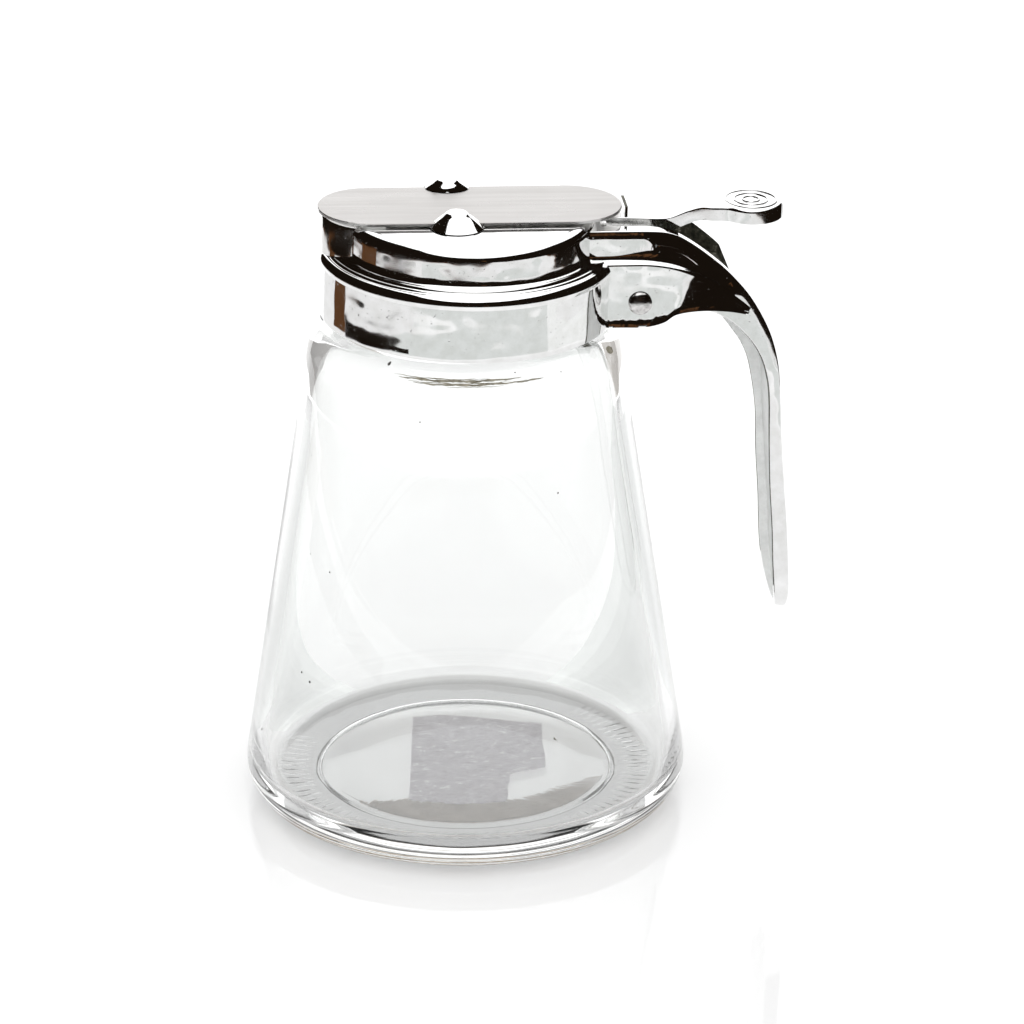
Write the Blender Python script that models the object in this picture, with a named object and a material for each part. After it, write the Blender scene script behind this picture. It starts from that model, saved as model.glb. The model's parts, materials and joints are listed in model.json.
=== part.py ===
"""Syrup dispenser: a conical glass jar with a chromed pouring cap, a channel handle
and a steel shutter that a thumb lever draws back from the spout.

Metres, +Z up. The jar stands on Z = 0 and the handle points along +X. The cap is
designed level in its own frame, and is then seated on the jar with a slight tilt.
"""
import math

import bmesh
import bpy
from mathutils import Matrix, Vector

# Jar
JAR_HEIGHT = 0.1175
HEEL_RADIUS = 0.0459
HEEL_ROUNDING = 0.0068
SHOULDER_Z = 0.0970
SHOULDER_RADIUS = 0.0322
SHOULDER_TOP_Z = 0.1045
NECK_RADIUS = 0.0271
NECK_BORE = 0.0239
WALL_LOW = 0.0034
WALL_HIGH = 0.0028
FLOOR_Z = 0.0060
FLOOR_FLAT_RADIUS = 0.0340
PUNT_RADIUS = 0.0306
PUNT_DEPTH = 0.0014
JAR_STEPS = 56

# Cap shell
CAP_BOTTOM_Z = 0.10595
CAP_TOP_Z = 0.1278
COLLAR_RADIUS = 0.02995
BEAD_RADIUS = 0.0302
BEAD_Z = 0.1183
LEDGE_Z = 0.1202
DRUM_RADIUS = 0.0258
SHELL_THICKNESS = 0.0013
CAP_STEPS = 60

# Spout
SPOUT_REACH = 0.0298
SPOUT_HALF_WIDTH = 0.0098
SPOUT_BOTTOM_Z = 0.1185
POUR_HOLE_INNER_X = -0.0175

# Handle
HANDLE_HALF_WIDTH = 0.0105
PANEL_HALF_WIDTH = 0.0118
CHANNEL_HALF_WIDTH = 0.0092
TROUGH_HALF_WIDTH = 0.0074
TROUGH_DEPTH = 0.0045
GRIP_ROUND_TOP_Z = 0.0500
GRIP_TIP_Z = 0.0392
TIP_THICKNESS = 0.0014
RIVET_X = 0.0341
RIVET_Z = 0.1114
RIVET_RADIUS = 0.00240
RIVET_HEIGHT = 0.0010
RIVET_POCKET_DEPTH = 0.0005

# Shutter plate, its guide studs and its thumb lever
PLATE_TOP_Z = 0.1288
PLATE_THICKNESS = 0.0007
PLATE_LEFT_X = -0.0306
PLATE_RIGHT_X = 0.0312
PLATE_HALF_WIDTH = 0.0107
STUD_X = -0.0034
STUD_OFFSET_Y = 0.0099
STUD_RADIUS = 0.0056
STUD_TOP_RADIUS = 0.0023
STUD_TOP_Z = 0.1309
LEVER_SKIRT = 0.0031
LEVER_SHEET = 0.0008
LEVER_END_HALF_WIDTH = 0.0009
PAD_X = 0.0577
PAD_RADIUS = 0.0065
PAD_TOP_Z = 0.1291
PAD_RING_RADII = (0.0052, 0.0034, 0.0017)
PAD_RING_HALF_WIDTH = 0.00032
PAD_RING_RISE = 0.00018
TAB_BOTTOM_Z = 0.1268
TAB_RISE = 0.0003
TAB_HALF_WIDTH = 0.0034
TAB_THICKNESS = 0.0006

# Paper label under the base
LABEL_THICKNESS = 0.00025
LABEL_TEAR_RAG = 0.0003
LABEL_TEAR_STEPS = 4

# Seating of the cap on the jar
GAP = 0.0003
CAP_TILT_DEG = 1.5
CAP_SHIFT_X = 0.0004

SHARP_ANGLE = math.radians(35)


def material(name, colour, roughness, metallic, transmission=0.0):
    mat = bpy.data.materials.new(name)
    mat.use_nodes = True
    shader = mat.node_tree.nodes["Principled BSDF"]
    shader.inputs["Base Color"].default_value = (*colour, 1.0)
    shader.inputs["Roughness"].default_value = roughness
    shader.inputs["Metallic"].default_value = metallic
    shader.inputs["Transmission Weight"].default_value = transmission
    mat.diffuse_color = (*colour, 1.0)
    return mat


def object_from_bmesh(name, bm, mat=None):
    bmesh.ops.recalc_face_normals(bm, faces=bm.faces)
    mesh = bpy.data.meshes.new(name)
    bm.to_mesh(mesh)
    bm.free()
    obj = bpy.data.objects.new(name, mesh)
    bpy.context.scene.collection.objects.link(obj)
    if mat:
        mesh.materials.append(mat)
    return obj


def bake(obj):
    """Replace an object's mesh with the result of its modifiers."""
    graph = bpy.context.evaluated_depsgraph_get()
    result = bpy.data.meshes.new_from_object(obj.evaluated_get(graph))
    obj.modifiers.clear()
    obj.data = result


def combine(obj, operand, operation, solver="EXACT"):
    """Join or cut with a Boolean, and drop the operand."""
    modifier = obj.modifiers.new(operation.lower(), "BOOLEAN")
    modifier.operation = operation
    modifier.solver = solver
    modifier.object = operand
    bake(obj)
    bpy.data.objects.remove(operand)


def bevel(obj, width, segments=2, angle_deg=40.0):
    modifier = obj.modifiers.new("bevel", "BEVEL")
    modifier.width = width
    modifier.segments = segments
    modifier.limit_method = "ANGLE"
    modifier.angle_limit = math.radians(angle_deg)
    bake(obj)


def finish(obj, mat=None):
    """Clean the mesh and set smooth shading with sharp edges kept."""
    bm = bmesh.new()
    bm.from_mesh(obj.data)
    bmesh.ops.remove_doubles(bm, verts=bm.verts, dist=2e-6)
    bmesh.ops.dissolve_degenerate(bm, edges=bm.edges, dist=2e-6)
    bm.to_mesh(obj.data)
    bm.free()
    if mat:
        obj.data.materials.clear()
        obj.data.materials.append(mat)
    obj.data.shade_smooth()
    obj.data.set_sharp_from_angle(angle=SHARP_ANGLE)


def arc(centre, radius, start_deg, end_deg, count):
    """Points on a circle arc in a profile plane, ends included."""
    points = []
    for i in range(count + 1):
        angle = math.radians(start_deg + (end_deg - start_deg) * i / count)
        points.append((centre[0] + radius * math.cos(angle), centre[1] + radius * math.sin(angle)))
    return points


def smooth_stations(stations, per_span):
    """Catmull-Rom interpolation of tuples of any equal length."""
    result = []
    last = len(stations) - 1
    for i in range(last):
        before = stations[max(i - 1, 0)]
        start = stations[i]
        end = stations[i + 1]
        after = stations[min(i + 2, last)]
        for step in range(per_span):
            t = step / per_span
            result.append(tuple(
                0.5 * (2 * b + (c - a) * t + (2 * a - 5 * b + 4 * c - d) * t * t
                       + (3 * b - a - 3 * c + d) * t ** 3)
                for a, b, c, d in zip(before, start, end, after)))
    result.append(stations[last])
    return result


def lathe(name, profile, steps):
    """Turn a closed (radius, z) profile round the Z axis."""
    bm = bmesh.new()
    ring = [bm.verts.new((radius, 0.0, z)) for radius, z in profile]
    on_axis_ends = profile[0][0] == 0.0 and profile[-1][0] == 0.0
    edges = [bm.edges.new(pair) for pair in zip(ring, ring[1:])]
    if not on_axis_ends:
        edges.append(bm.edges.new((ring[-1], ring[0])))
    bmesh.ops.spin(bm, geom=ring + edges, cent=(0, 0, 0), axis=(0, 0, 1),
                   angle=2 * math.pi, steps=steps, use_merge=True)
    bmesh.ops.remove_doubles(bm, verts=bm.verts, dist=1e-6)
    return object_from_bmesh(name, bm)


def loft(name, rings):
    """Closed solid through rings of equal point counts, with flat ends."""
    bm = bmesh.new()
    loops = [[bm.verts.new(point) for point in ring] for ring in rings]
    count = len(loops[0])
    for first, second in zip(loops, loops[1:]):
        for i in range(count):
            j = (i + 1) % count
            bm.faces.new((first[i], first[j], second[j], second[i]))
    bm.faces.new(loops[0])
    bm.faces.new(loops[-1])
    return object_from_bmesh(name, bm)


def prism(name, outline, bottom_z, top_z):
    """Straight solid over a plan outline of (x, y) points."""
    return loft(name, [[(x, y, z) for x, y in outline] for z in (bottom_z, top_z)])


def stadium(left_x, right_x, half_width, steps, square_right=False):
    """Plan outline with a half-round left end and a half-round or square right end."""
    points = arc((left_x + half_width, 0.0), half_width, 90, 270, steps)
    if square_right:
        return points + [(right_x, -half_width), (right_x, half_width)]
    return points + arc((right_x - half_width, 0.0), half_width, -90, 90, steps)


def make_jar(mat):
    heel_centre = (HEEL_RADIUS - HEEL_ROUNDING, HEEL_ROUNDING)
    heel = arc(heel_centre, HEEL_ROUNDING, -90, 8.7, 9)
    shoulder_corner = (SHOULDER_RADIUS, SHOULDER_Z)
    shoulder = [
        shoulder_corner,
        (SHOULDER_RADIUS - 0.0005, SHOULDER_Z + 0.0027),
        (SHOULDER_RADIUS - 0.0013, SHOULDER_Z + 0.0050),
        (SHOULDER_RADIUS - 0.0025, SHOULDER_Z + 0.0068),
        (SHOULDER_RADIUS - 0.0038, SHOULDER_TOP_Z),
        (NECK_RADIUS, SHOULDER_TOP_Z + 0.0004),
    ]
    lip = arc((NECK_RADIUS - 0.0015, JAR_HEIGHT - 0.0015), 0.0015, 0, 180, 6)
    lip = [(max(radius, NECK_BORE), z) for radius, z in lip]
    outside = [(PUNT_RADIUS + 0.0012, 0.0)] + heel + shoulder + lip
    bore = [
        (NECK_BORE, SHOULDER_TOP_Z + 0.0020),
        (NECK_BORE + 0.0008, SHOULDER_TOP_Z - 0.0010),
        (NECK_BORE + 0.0026, SHOULDER_TOP_Z - 0.0040),
        (NECK_BORE + 0.0044, SHOULDER_Z - 0.0010),
        (SHOULDER_RADIUS - WALL_HIGH + 0.0010, SHOULDER_Z - 0.0090),
    ]
    inner_heel = (HEEL_RADIUS - WALL_LOW - 0.0010, FLOOR_Z + 0.0080)
    floor_round = []
    for i in range(1, 7):
        angle = math.radians(15 * i)
        floor_round.append((
            FLOOR_FLAT_RADIUS + (inner_heel[0] - FLOOR_FLAT_RADIUS) * math.cos(angle),
            FLOOR_Z + (inner_heel[1] - FLOOR_Z) * (1 - math.sin(angle))))
    inside = bore + [inner_heel] + floor_round
    middle = [(FLOOR_FLAT_RADIUS * 0.5, FLOOR_Z), (0.0, FLOOR_Z)]
    punt = [(0.0, PUNT_DEPTH), (PUNT_RADIUS, PUNT_DEPTH)]
    profile = punt[:1] + punt[1:] + outside + inside + middle
    jar = lathe("jar", profile, JAR_STEPS)
    finish(jar, mat)
    return jar


def cap_shell():
    """Collar, bead, ledge and drum as one turned solid, still closed below."""
    bead = arc((BEAD_RADIUS - 0.0010, BEAD_Z), 0.0010, -70, 80, 6)
    drum_edge = arc((DRUM_RADIUS - 0.0008, CAP_TOP_Z - 0.0008), 0.0008, 0, 90, 4)
    profile = [
        (0.0, CAP_BOTTOM_Z),
        (COLLAR_RADIUS - 0.0003, CAP_BOTTOM_Z),
        (COLLAR_RADIUS, CAP_BOTTOM_Z + 0.0003),
        (COLLAR_RADIUS, BEAD_Z - 0.0012),
        *bead,
        (COLLAR_RADIUS - 0.0010, LEDGE_Z - 0.0010),
        (COLLAR_RADIUS - 0.0013, LEDGE_Z - 0.0003),
        (COLLAR_RADIUS - 0.0018, LEDGE_Z),
        (DRUM_RADIUS + 0.0010, LEDGE_Z + 0.0002),
        (DRUM_RADIUS + 0.0003, LEDGE_Z + 0.0006),
        (DRUM_RADIUS, LEDGE_Z + 0.0013),
        *drum_edge,
        (0.0, CAP_TOP_Z),
    ]
    return lathe("cap", profile, CAP_STEPS)


def cap_cavity():
    """Room inside the cap for the jar's neck, open below."""
    collar_bore = COLLAR_RADIUS - SHELL_THICKNESS
    drum_bore = DRUM_RADIUS - SHELL_THICKNESS
    profile = [
        (0.0, CAP_BOTTOM_Z - 0.0020),
        (collar_bore, CAP_BOTTOM_Z - 0.0020),
        (collar_bore, BEAD_Z - 0.0002),
        (drum_bore, LEDGE_Z - 0.0012),
        (drum_bore, CAP_TOP_Z - SHELL_THICKNESS),
        (0.0, CAP_TOP_Z - SHELL_THICKNESS),
    ]
    return lathe("cavity", profile, CAP_STEPS)


# Side view of the handle, from inside the cap out over the arch and down the grip. Each
# station is the outer line's (x, z), the inner line's (x, z), the channel's roof depth
# and how much deeper the back flange reaches than the front one.
HANDLE_STATIONS = [
    (0.0200, 0.1264, 0.0200, 0.1063, 0.0060, 0.0),
    (0.0310, 0.1264, 0.0295, 0.1063, 0.0060, 0.0),
    (0.0360, 0.1263, 0.0350, 0.1063, 0.0060, 0.0),
    (0.0402, 0.1256, 0.0390, 0.1072, 0.0060, 0.0),
    (0.0442, 0.1235, 0.0415, 0.1089, 0.0060, 0.0),
    (0.0486, 0.1203, 0.0455, 0.1097, 0.0058, 0.0),
    (0.0527, 0.1167, 0.0497, 0.1085, 0.0028, 0.0010),
    (0.0565, 0.1124, 0.0534, 0.1064, 0.0014, 0.0030),
    (0.0596, 0.1074, 0.0567, 0.1032, 0.0012, 0.0042),
    (0.0618, 0.1025, 0.0592, 0.0996, 0.0012, 0.0038),
    (0.0633, 0.0967, 0.0608, 0.0953, 0.0012, 0.0026),
    (0.0640, 0.0900, 0.0617, 0.0898, 0.0012, 0.0014),
    (0.0647, 0.0800, 0.0621, 0.0800, 0.0012, 0.0),
    (0.0657, 0.0700, 0.0627, 0.0700, 0.0012, 0.0),
    (0.0667, 0.0600, 0.0636, 0.0600, 0.0012, 0.0),
    (0.0673, 0.0520, 0.0641, 0.0523, 0.0012, 0.0),
    (0.0678, 0.0450, 0.0648, 0.0456, 0.0012, 0.0),
    (0.0678, 0.0392, 0.0660, 0.0396, 0.0012, 0.0),
]
STATION_STEPS = 3


def end_rounding(z, tip_z):
    """Share of the full width left at a height within the grip's half-round end."""
    if z >= GRIP_ROUND_TOP_Z:
        return 1.0
    part = (GRIP_ROUND_TOP_Z - z) / (GRIP_ROUND_TOP_Z - tip_z)
    return math.sqrt(max(1.0 - part * part, 0.0))


def handle_core():
    """Full section of the arch and grip, before its channel and trough are cut."""
    tip_half_width = 0.0016
    rings = []
    for xo, zo, xi, zi, _, deeper in smooth_stations(HANDLE_STATIONS, STATION_STEPS):
        half = max(HANDLE_HALF_WIDTH * end_rounding(zo, GRIP_TIP_Z), tip_half_width)
        inward = Vector((xi - xo, zi - zo)).normalized()
        back = Vector((xi, zi)) + inward * deeper
        rings.append([(xo, -half, zo), (xo, half, zo), (back.x, half, back.y), (xi, -half, zi)])
    core = loft("handle_core", rings)
    bevel(core, 0.0006)
    return core


def handle_channel():
    """Hollow under the arch that runs on down the grip's inner side."""
    past_mouth = 0.006
    tip_z = GRIP_TIP_Z + TIP_THICKNESS
    rings = []
    for xo, zo, xi, zi, roof, _ in smooth_stations(HANDLE_STATIONS[1:], STATION_STEPS):
        half = CHANNEL_HALF_WIDTH * end_rounding(zo, tip_z)
        if half == 0.0:
            break
        outer = Vector((xo, zo))
        inner = Vector((xi, zi))
        inward = (inner - outer).normalized()
        top = outer + inward * roof
        mouth = inner + inward * past_mouth
        rings.append([(top.x, -half, top.y), (top.x, half, top.y),
                      (mouth.x, half, mouth.y), (mouth.x, -half, mouth.y)])
    channel = loft("channel", rings)
    bevel(channel, 0.0005, segments=1)
    return channel


def handle_trough():
    """Open channel along the arch's top, in which the lever runs."""
    above = 0.006
    start_x = DRUM_RADIUS + 0.0004
    rings = []
    for xo, zo, xi, zi, _, _ in smooth_stations(HANDLE_STATIONS[:6], STATION_STEPS):
        if rings and xo <= start_x:
            continue
        inward = Vector((xi - xo, zi - zo)).normalized()
        edge = Vector((max(xo, start_x), zo))
        floor = edge + inward * TROUGH_DEPTH
        sky = edge - inward * above
        rings.append([(sky.x, -TROUGH_HALF_WIDTH, sky.y), (sky.x, TROUGH_HALF_WIDTH, sky.y),
                      (floor.x, TROUGH_HALF_WIDTH, floor.y), (floor.x, -TROUGH_HALF_WIDTH, floor.y)])
    return loft("trough", rings)


# Raised lower side of the handle: the ridge line's (x, z) over the bottom line's (x, z)
PANEL_STATIONS = [
    (0.0230, 0.1199, 0.0230, 0.1062),
    (0.0300, 0.1200, 0.0300, 0.1062),
    (0.0360, 0.1199, 0.0352, 0.1062),
    (0.0412, 0.1190, 0.0390, 0.1071),
    (0.0462, 0.1170, 0.0417, 0.1088),
    (0.0508, 0.1145, 0.0465, 0.1095),
    (0.0548, 0.1115, 0.0520, 0.1093),
    (0.0571, 0.1096, 0.0562, 0.1086),
]


def handle_panels():
    rings = []
    for xt, zt, xb, zb in smooth_stations(PANEL_STATIONS, STATION_STEPS):
        half = PANEL_HALF_WIDTH
        rings.append([(xt, -half, zt), (xt, half, zt), (xb, half, zb), (xb, -half, zb)])
    panels = loft("panels", rings)
    bevel(panels, 0.0009, segments=3)
    return panels


def disc_across(name, x, z, y_from, y_to, radius, steps=16):
    """Short cylinder along Y."""
    rings = []
    for y in (y_from, y_to):
        ring = []
        for i in range(steps):
            angle = 2 * math.pi * i / steps
            ring.append((x + radius * math.cos(angle), y, z + radius * math.sin(angle)))
        rings.append(ring)
    return loft(name, rings)


def make_cap(mat):
    cap = cap_shell()
    spout = prism("spout", stadium(-SPOUT_REACH, 0.0, SPOUT_HALF_WIDTH, 16, square_right=True),
                  SPOUT_BOTTOM_Z, CAP_TOP_Z)
    bevel(spout, 0.0005)
    combine(cap, spout, "UNION")
    combine(cap, handle_core(), "UNION")
    # From the panels' thin tips on, the exact solver leaves open edges
    combine(cap, handle_panels(), "UNION", solver="MANIFOLD")
    combine(cap, cap_cavity(), "DIFFERENCE", solver="MANIFOLD")
    pour_hole = prism("pour_hole",
                      stadium(-SPOUT_REACH + SHELL_THICKNESS, POUR_HOLE_INNER_X,
                              SPOUT_HALF_WIDTH - SHELL_THICKNESS, 12, square_right=True),
                      SPOUT_BOTTOM_Z + SHELL_THICKNESS, CAP_TOP_Z + 0.001)
    combine(cap, pour_hole, "DIFFERENCE", solver="MANIFOLD")
    combine(cap, handle_trough(), "DIFFERENCE", solver="MANIFOLD")
    combine(cap, handle_channel(), "DIFFERENCE", solver="MANIFOLD")
    for side in (-1, 1):
        pocket = disc_across("pocket", RIVET_X, RIVET_Z,
                             side * (PANEL_HALF_WIDTH - RIVET_POCKET_DEPTH),
                             side * (PANEL_HALF_WIDTH + 0.001), RIVET_RADIUS + GAP)
        combine(cap, pocket, "DIFFERENCE", solver="MANIFOLD")
    finish(cap, mat)
    return cap


def make_rivet(name, side, mat):
    """Domed head of the pin through the handle's side."""
    base = PANEL_HALF_WIDTH - RIVET_POCKET_DEPTH + GAP
    rise = RIVET_HEIGHT + RIVET_POCKET_DEPTH - GAP
    rim = 0.35
    profile = [(0.0, 0.0), (RIVET_RADIUS, 0.0), (RIVET_RADIUS, rise * rim)]
    for i in range(1, 6):
        angle = math.radians(18 * i)
        profile.append((RIVET_RADIUS * math.cos(angle), rise * (rim + (1 - rim) * math.sin(angle))))
    profile[-1] = (0.0, rise)
    rivet = lathe(name, profile, 16)
    rivet.data.transform(Matrix.Rotation(math.radians(90) * -side, 4, "X"))
    rivet.data.transform(Matrix.Translation((RIVET_X, side * base, RIVET_Z)))
    finish(rivet, mat)
    return rivet


def make_stud(name, side, mat):
    """Low conical stud over the plate's edge, slotted for the plate to pass."""
    base_z = CAP_TOP_Z + GAP
    profile = [
        (0.0, base_z),
        (STUD_RADIUS - 0.0002, base_z),
        (STUD_RADIUS, base_z + 0.0002),
        (STUD_RADIUS - 0.0002, base_z + 0.0006),
        (STUD_RADIUS * 0.80, base_z + 0.0013),
        (STUD_RADIUS * 0.60, STUD_TOP_Z - 0.0006),
        (STUD_TOP_RADIUS, STUD_TOP_Z - 0.0001),
        (STUD_TOP_RADIUS - 0.0004, STUD_TOP_Z),
        (0.0, STUD_TOP_Z),
    ]
    stud = lathe(name, profile, 24)
    stud.data.transform(Matrix.Translation((STUD_X, side * STUD_OFFSET_Y, 0.0)))
    inner_y = side * (STUD_OFFSET_Y - 2 * STUD_RADIUS)
    outer_y = side * (PLATE_HALF_WIDTH + GAP)
    reach = 2 * STUD_RADIUS
    slot = prism("slot", [(STUD_X - reach, inner_y), (STUD_X + reach, inner_y),
                          (STUD_X + reach, outer_y), (STUD_X - reach, outer_y)],
                 base_z - 0.001, PLATE_TOP_Z + GAP)
    combine(stud, slot, "DIFFERENCE")
    finish(stud, mat)
    return stud


def make_plate(mat):
    plate = prism("shutter_plate", stadium(PLATE_LEFT_X, PLATE_RIGHT_X, PLATE_HALF_WIDTH, 18),
                  PLATE_TOP_Z - PLATE_THICKNESS, PLATE_TOP_Z)
    bevel(plate, 0.00012, segments=1)
    finish(plate, mat)
    return plate


# Lever's strip, from under the plate's end to the pad: x, half width and top height
LEVER_STATIONS = [
    (0.0276, 0.0040, 0.1274),
    (0.0330, 0.0042, 0.1273),
    (0.0385, 0.0042, 0.1271),
    (0.0408, 0.0042, 0.1273),
    (0.0440, 0.0042, 0.1286),
    (0.0468, 0.0043, 0.1294),
    (0.0490, 0.0044, 0.1293),
]
PAD_SECTIONS = 16


def lever_sections():
    """Sections along the strip and on over the round pad, denser towards the pad's end."""
    sections = smooth_stations(LEVER_STATIONS, STATION_STEPS)
    strip_end_x, strip_half, strip_end_z = sections[-1]
    length = PAD_X + PAD_RADIUS - strip_end_x
    for i in range(1, PAD_SECTIONS + 1):
        share = math.sin(math.radians(90) * i / PAD_SECTIONS)
        x = strip_end_x + length * share
        half = math.sqrt(max(PAD_RADIUS ** 2 - (x - PAD_X) ** 2, 0.0))
        if x < PAD_X:
            half = max(half, strip_half)
        z = strip_end_z + (PAD_TOP_Z - strip_end_z) * min(1.0, 2 * share)
        sections.append((x, max(half, LEVER_END_HALF_WIDTH), z))
    return sections


def lever_room(sections):
    """Hollow between the lever's skirts, open below and at the tail."""
    past = 0.002
    end_x = sections[-1][0] - LEVER_SHEET
    rings = []
    for x, half, z in sections:
        inside = half - LEVER_SHEET
        roof = z - LEVER_SHEET
        mouth = z - LEVER_SKIRT - past
        start = x if rings else x - past
        if inside > 0.0 and x < end_x:
            rings.append([(start, -inside, roof), (start, inside, roof),
                          (start, inside, mouth), (start, -inside, mouth)])
    return loft("lever_room", rings)


def pad_ring(radius):
    """Fine raised ring on the pad."""
    sunk_z = PAD_TOP_Z - PAD_RING_RISE
    top_z = PAD_TOP_Z + PAD_RING_RISE
    top_half_width = PAD_RING_HALF_WIDTH * 0.6
    ring = lathe("ring", [(radius - PAD_RING_HALF_WIDTH, sunk_z), (radius + PAD_RING_HALF_WIDTH, sunk_z),
                          (radius + top_half_width, top_z), (radius - top_half_width, top_z)], 24)
    ring.data.transform(Matrix.Translation((PAD_X, 0.0, 0.0)))
    return ring


def make_lever(mat):
    """Pressed lever with side skirts, a round thumb pad and an upturned tail tab."""
    sections = lever_sections()
    outer = []
    for x, half, z in sections:
        bottom = z - LEVER_SKIRT
        outer.append([(x, -half, z), (x, half, z), (x, half, bottom), (x, -half, bottom)])
    lever = loft("thumb_lever", outer)
    bevel(lever, 0.0003)
    combine(lever, lever_room(sections), "DIFFERENCE")
    tab_x = PLATE_RIGHT_X + GAP
    tab_end_x = tab_x + TAB_THICKNESS
    tab = prism("tab", [(tab_x, -TAB_HALF_WIDTH), (tab_end_x, -TAB_HALF_WIDTH),
                        (tab_end_x, TAB_HALF_WIDTH), (tab_x, TAB_HALF_WIDTH)],
                TAB_BOTTOM_Z, PLATE_TOP_Z + TAB_RISE)
    combine(lever, tab, "UNION")
    for radius in PAD_RING_RADII:
        combine(lever, pad_ring(radius), "UNION")
    finish(lever, mat)
    return lever


# Corners of what is left of the label, from its front left one round to the right
LABEL_CORNERS = [
    (-0.0133, -0.0162),
    (-0.0032, -0.0197),
    (0.0063, -0.0193),
    (0.0088, -0.0062),
    (0.0164, -0.0036),
    (0.0184, 0.0174),
    (-0.0020, 0.0237),
    (-0.0091, 0.0235),
]


def torn_edge(start, end, first):
    """Points from one corner towards the next, pushed in and out of line."""
    along = Vector(end) - Vector(start)
    aside = Vector((along.y, -along.x)).normalized()
    points = [start]
    for i in range(1, LABEL_TEAR_STEPS):
        rag = LABEL_TEAR_RAG * math.sin(2.3 * (first + i))
        point = Vector(start) + along * (i / LABEL_TEAR_STEPS) + aside * rag
        points.append(tuple(point))
    return points


def make_label(mat):
    """What is left of a paper label, torn all round but for its straight left side."""
    outline = []
    for start, end in zip(LABEL_CORNERS, LABEL_CORNERS[1:]):
        outline += torn_edge(start, end, len(outline))
    outline.append(LABEL_CORNERS[-1])
    top_z = PUNT_DEPTH - GAP
    label = prism("base_label", outline, top_z - LABEL_THICKNESS, top_z)
    finish(label, mat)
    return label


def cap_seat():
    """Empty that holds all of the cap, tilted on the jar about the collar's foot."""
    seat = bpy.data.objects.new("cap_seat", None)
    bpy.context.scene.collection.objects.link(seat)
    pivot = Matrix.Translation((0.0, 0.0, CAP_BOTTOM_Z))
    tilt = Matrix.Rotation(math.radians(CAP_TILT_DEG), 4, "Y")
    shift = Matrix.Translation((CAP_SHIFT_X, 0.0, 0.0))
    seat.matrix_world = pivot @ tilt @ shift @ pivot.inverted()
    return seat


def centre_on_footprint(roots, objects):
    """Move the roots so that the whole stands centred over the origin."""
    bpy.context.view_layer.update()
    corners = [obj.matrix_world @ vertex.co for obj in objects for vertex in obj.data.vertices]
    middle_x = (min(c.x for c in corners) + max(c.x for c in corners)) / 2
    middle_y = (min(c.y for c in corners) + max(c.y for c in corners)) / 2
    for root in roots:
        root.location.x -= middle_x
        root.location.y -= middle_y
    bpy.context.view_layer.update()


def main():
    for obj in list(bpy.data.objects):
        bpy.data.objects.remove(obj)
    glass = material("clear_glass", (0.95, 0.97, 0.96), 0.03, 0.0, transmission=1.0)
    chrome = material("chrome", (0.80, 0.80, 0.80), 0.06, 1.0)
    steel = material("satin_steel", (0.68, 0.67, 0.66), 0.35, 1.0)
    paper = material("paper", (0.62, 0.60, 0.60), 0.85, 0.0)

    jar = make_jar(glass)
    label = make_label(paper)
    seat = cap_seat()
    cap_pieces = [
        make_cap(chrome),
        make_rivet("rivet_front", -1, chrome),
        make_rivet("rivet_back", 1, chrome),
        make_stud("guide_stud_front", -1, chrome),
        make_stud("guide_stud_back", 1, chrome),
        make_plate(steel),
        make_lever(chrome),
    ]
    for piece in cap_pieces:
        piece.parent = seat
    centre_on_footprint([jar, label, seat], [jar, label, *cap_pieces])


main()
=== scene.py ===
"""Looks of the syrup dispenser: clear pressed glass, mirror chrome, a satin steel
shutter plate and the rest of a paper label under the base.

Metres, +Z up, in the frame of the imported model. The dispenser stands on a white
glossy table in a white studio. Some cards show only in mirror-like reflections,
where they give the chrome its dark bands, and others show only through the glass.
"""
import json
import math
import random

import bmesh
import bpy
from mathutils import Matrix, Vector
from mathutils.bvhtree import BVHTree


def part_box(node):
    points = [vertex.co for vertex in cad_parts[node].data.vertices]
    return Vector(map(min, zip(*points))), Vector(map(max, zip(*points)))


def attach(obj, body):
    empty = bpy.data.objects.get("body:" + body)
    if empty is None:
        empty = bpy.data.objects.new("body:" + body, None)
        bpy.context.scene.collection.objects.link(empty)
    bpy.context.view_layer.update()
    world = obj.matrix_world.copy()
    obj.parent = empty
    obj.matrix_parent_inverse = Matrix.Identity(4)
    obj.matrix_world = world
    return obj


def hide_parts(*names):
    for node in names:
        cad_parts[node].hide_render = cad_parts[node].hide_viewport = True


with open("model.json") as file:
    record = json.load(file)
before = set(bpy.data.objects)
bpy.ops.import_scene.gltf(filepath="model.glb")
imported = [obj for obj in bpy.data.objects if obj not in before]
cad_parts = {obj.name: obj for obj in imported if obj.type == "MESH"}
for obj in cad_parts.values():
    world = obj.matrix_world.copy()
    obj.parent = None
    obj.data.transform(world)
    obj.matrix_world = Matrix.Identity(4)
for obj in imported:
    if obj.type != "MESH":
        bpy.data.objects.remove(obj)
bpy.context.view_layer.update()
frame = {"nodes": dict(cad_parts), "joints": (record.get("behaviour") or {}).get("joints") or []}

BODY = "dispenser"
jar_low, jar_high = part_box("jar")
JAR_X = (jar_low.x + jar_high.x) / 2
JAR_HEIGHT = jar_high.z
HEEL_RADIUS = (jar_high.y - jar_low.y) / 2

# Jar profile, as the solid has it but for a tighter inner heel
HEEL_ROUNDING = 0.0068
SHOULDER_Z = 0.0970
SHOULDER_RADIUS = 0.0322
SHOULDER_TOP_Z = 0.1045
NECK_RADIUS = 0.0271
NECK_BORE = 0.0239
WALL_LOW = 0.0034
WALL_HIGH = 0.0028
FLOOR_Z = 0.0060
FLOOR_FLAT_RADIUS = 0.0388
INNER_HEEL_RISE = 0.0030
PUNT_RADIUS = 0.0306
PUNT_DEPTH = 0.0014
LIP_ROUNDING = 0.0015

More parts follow.
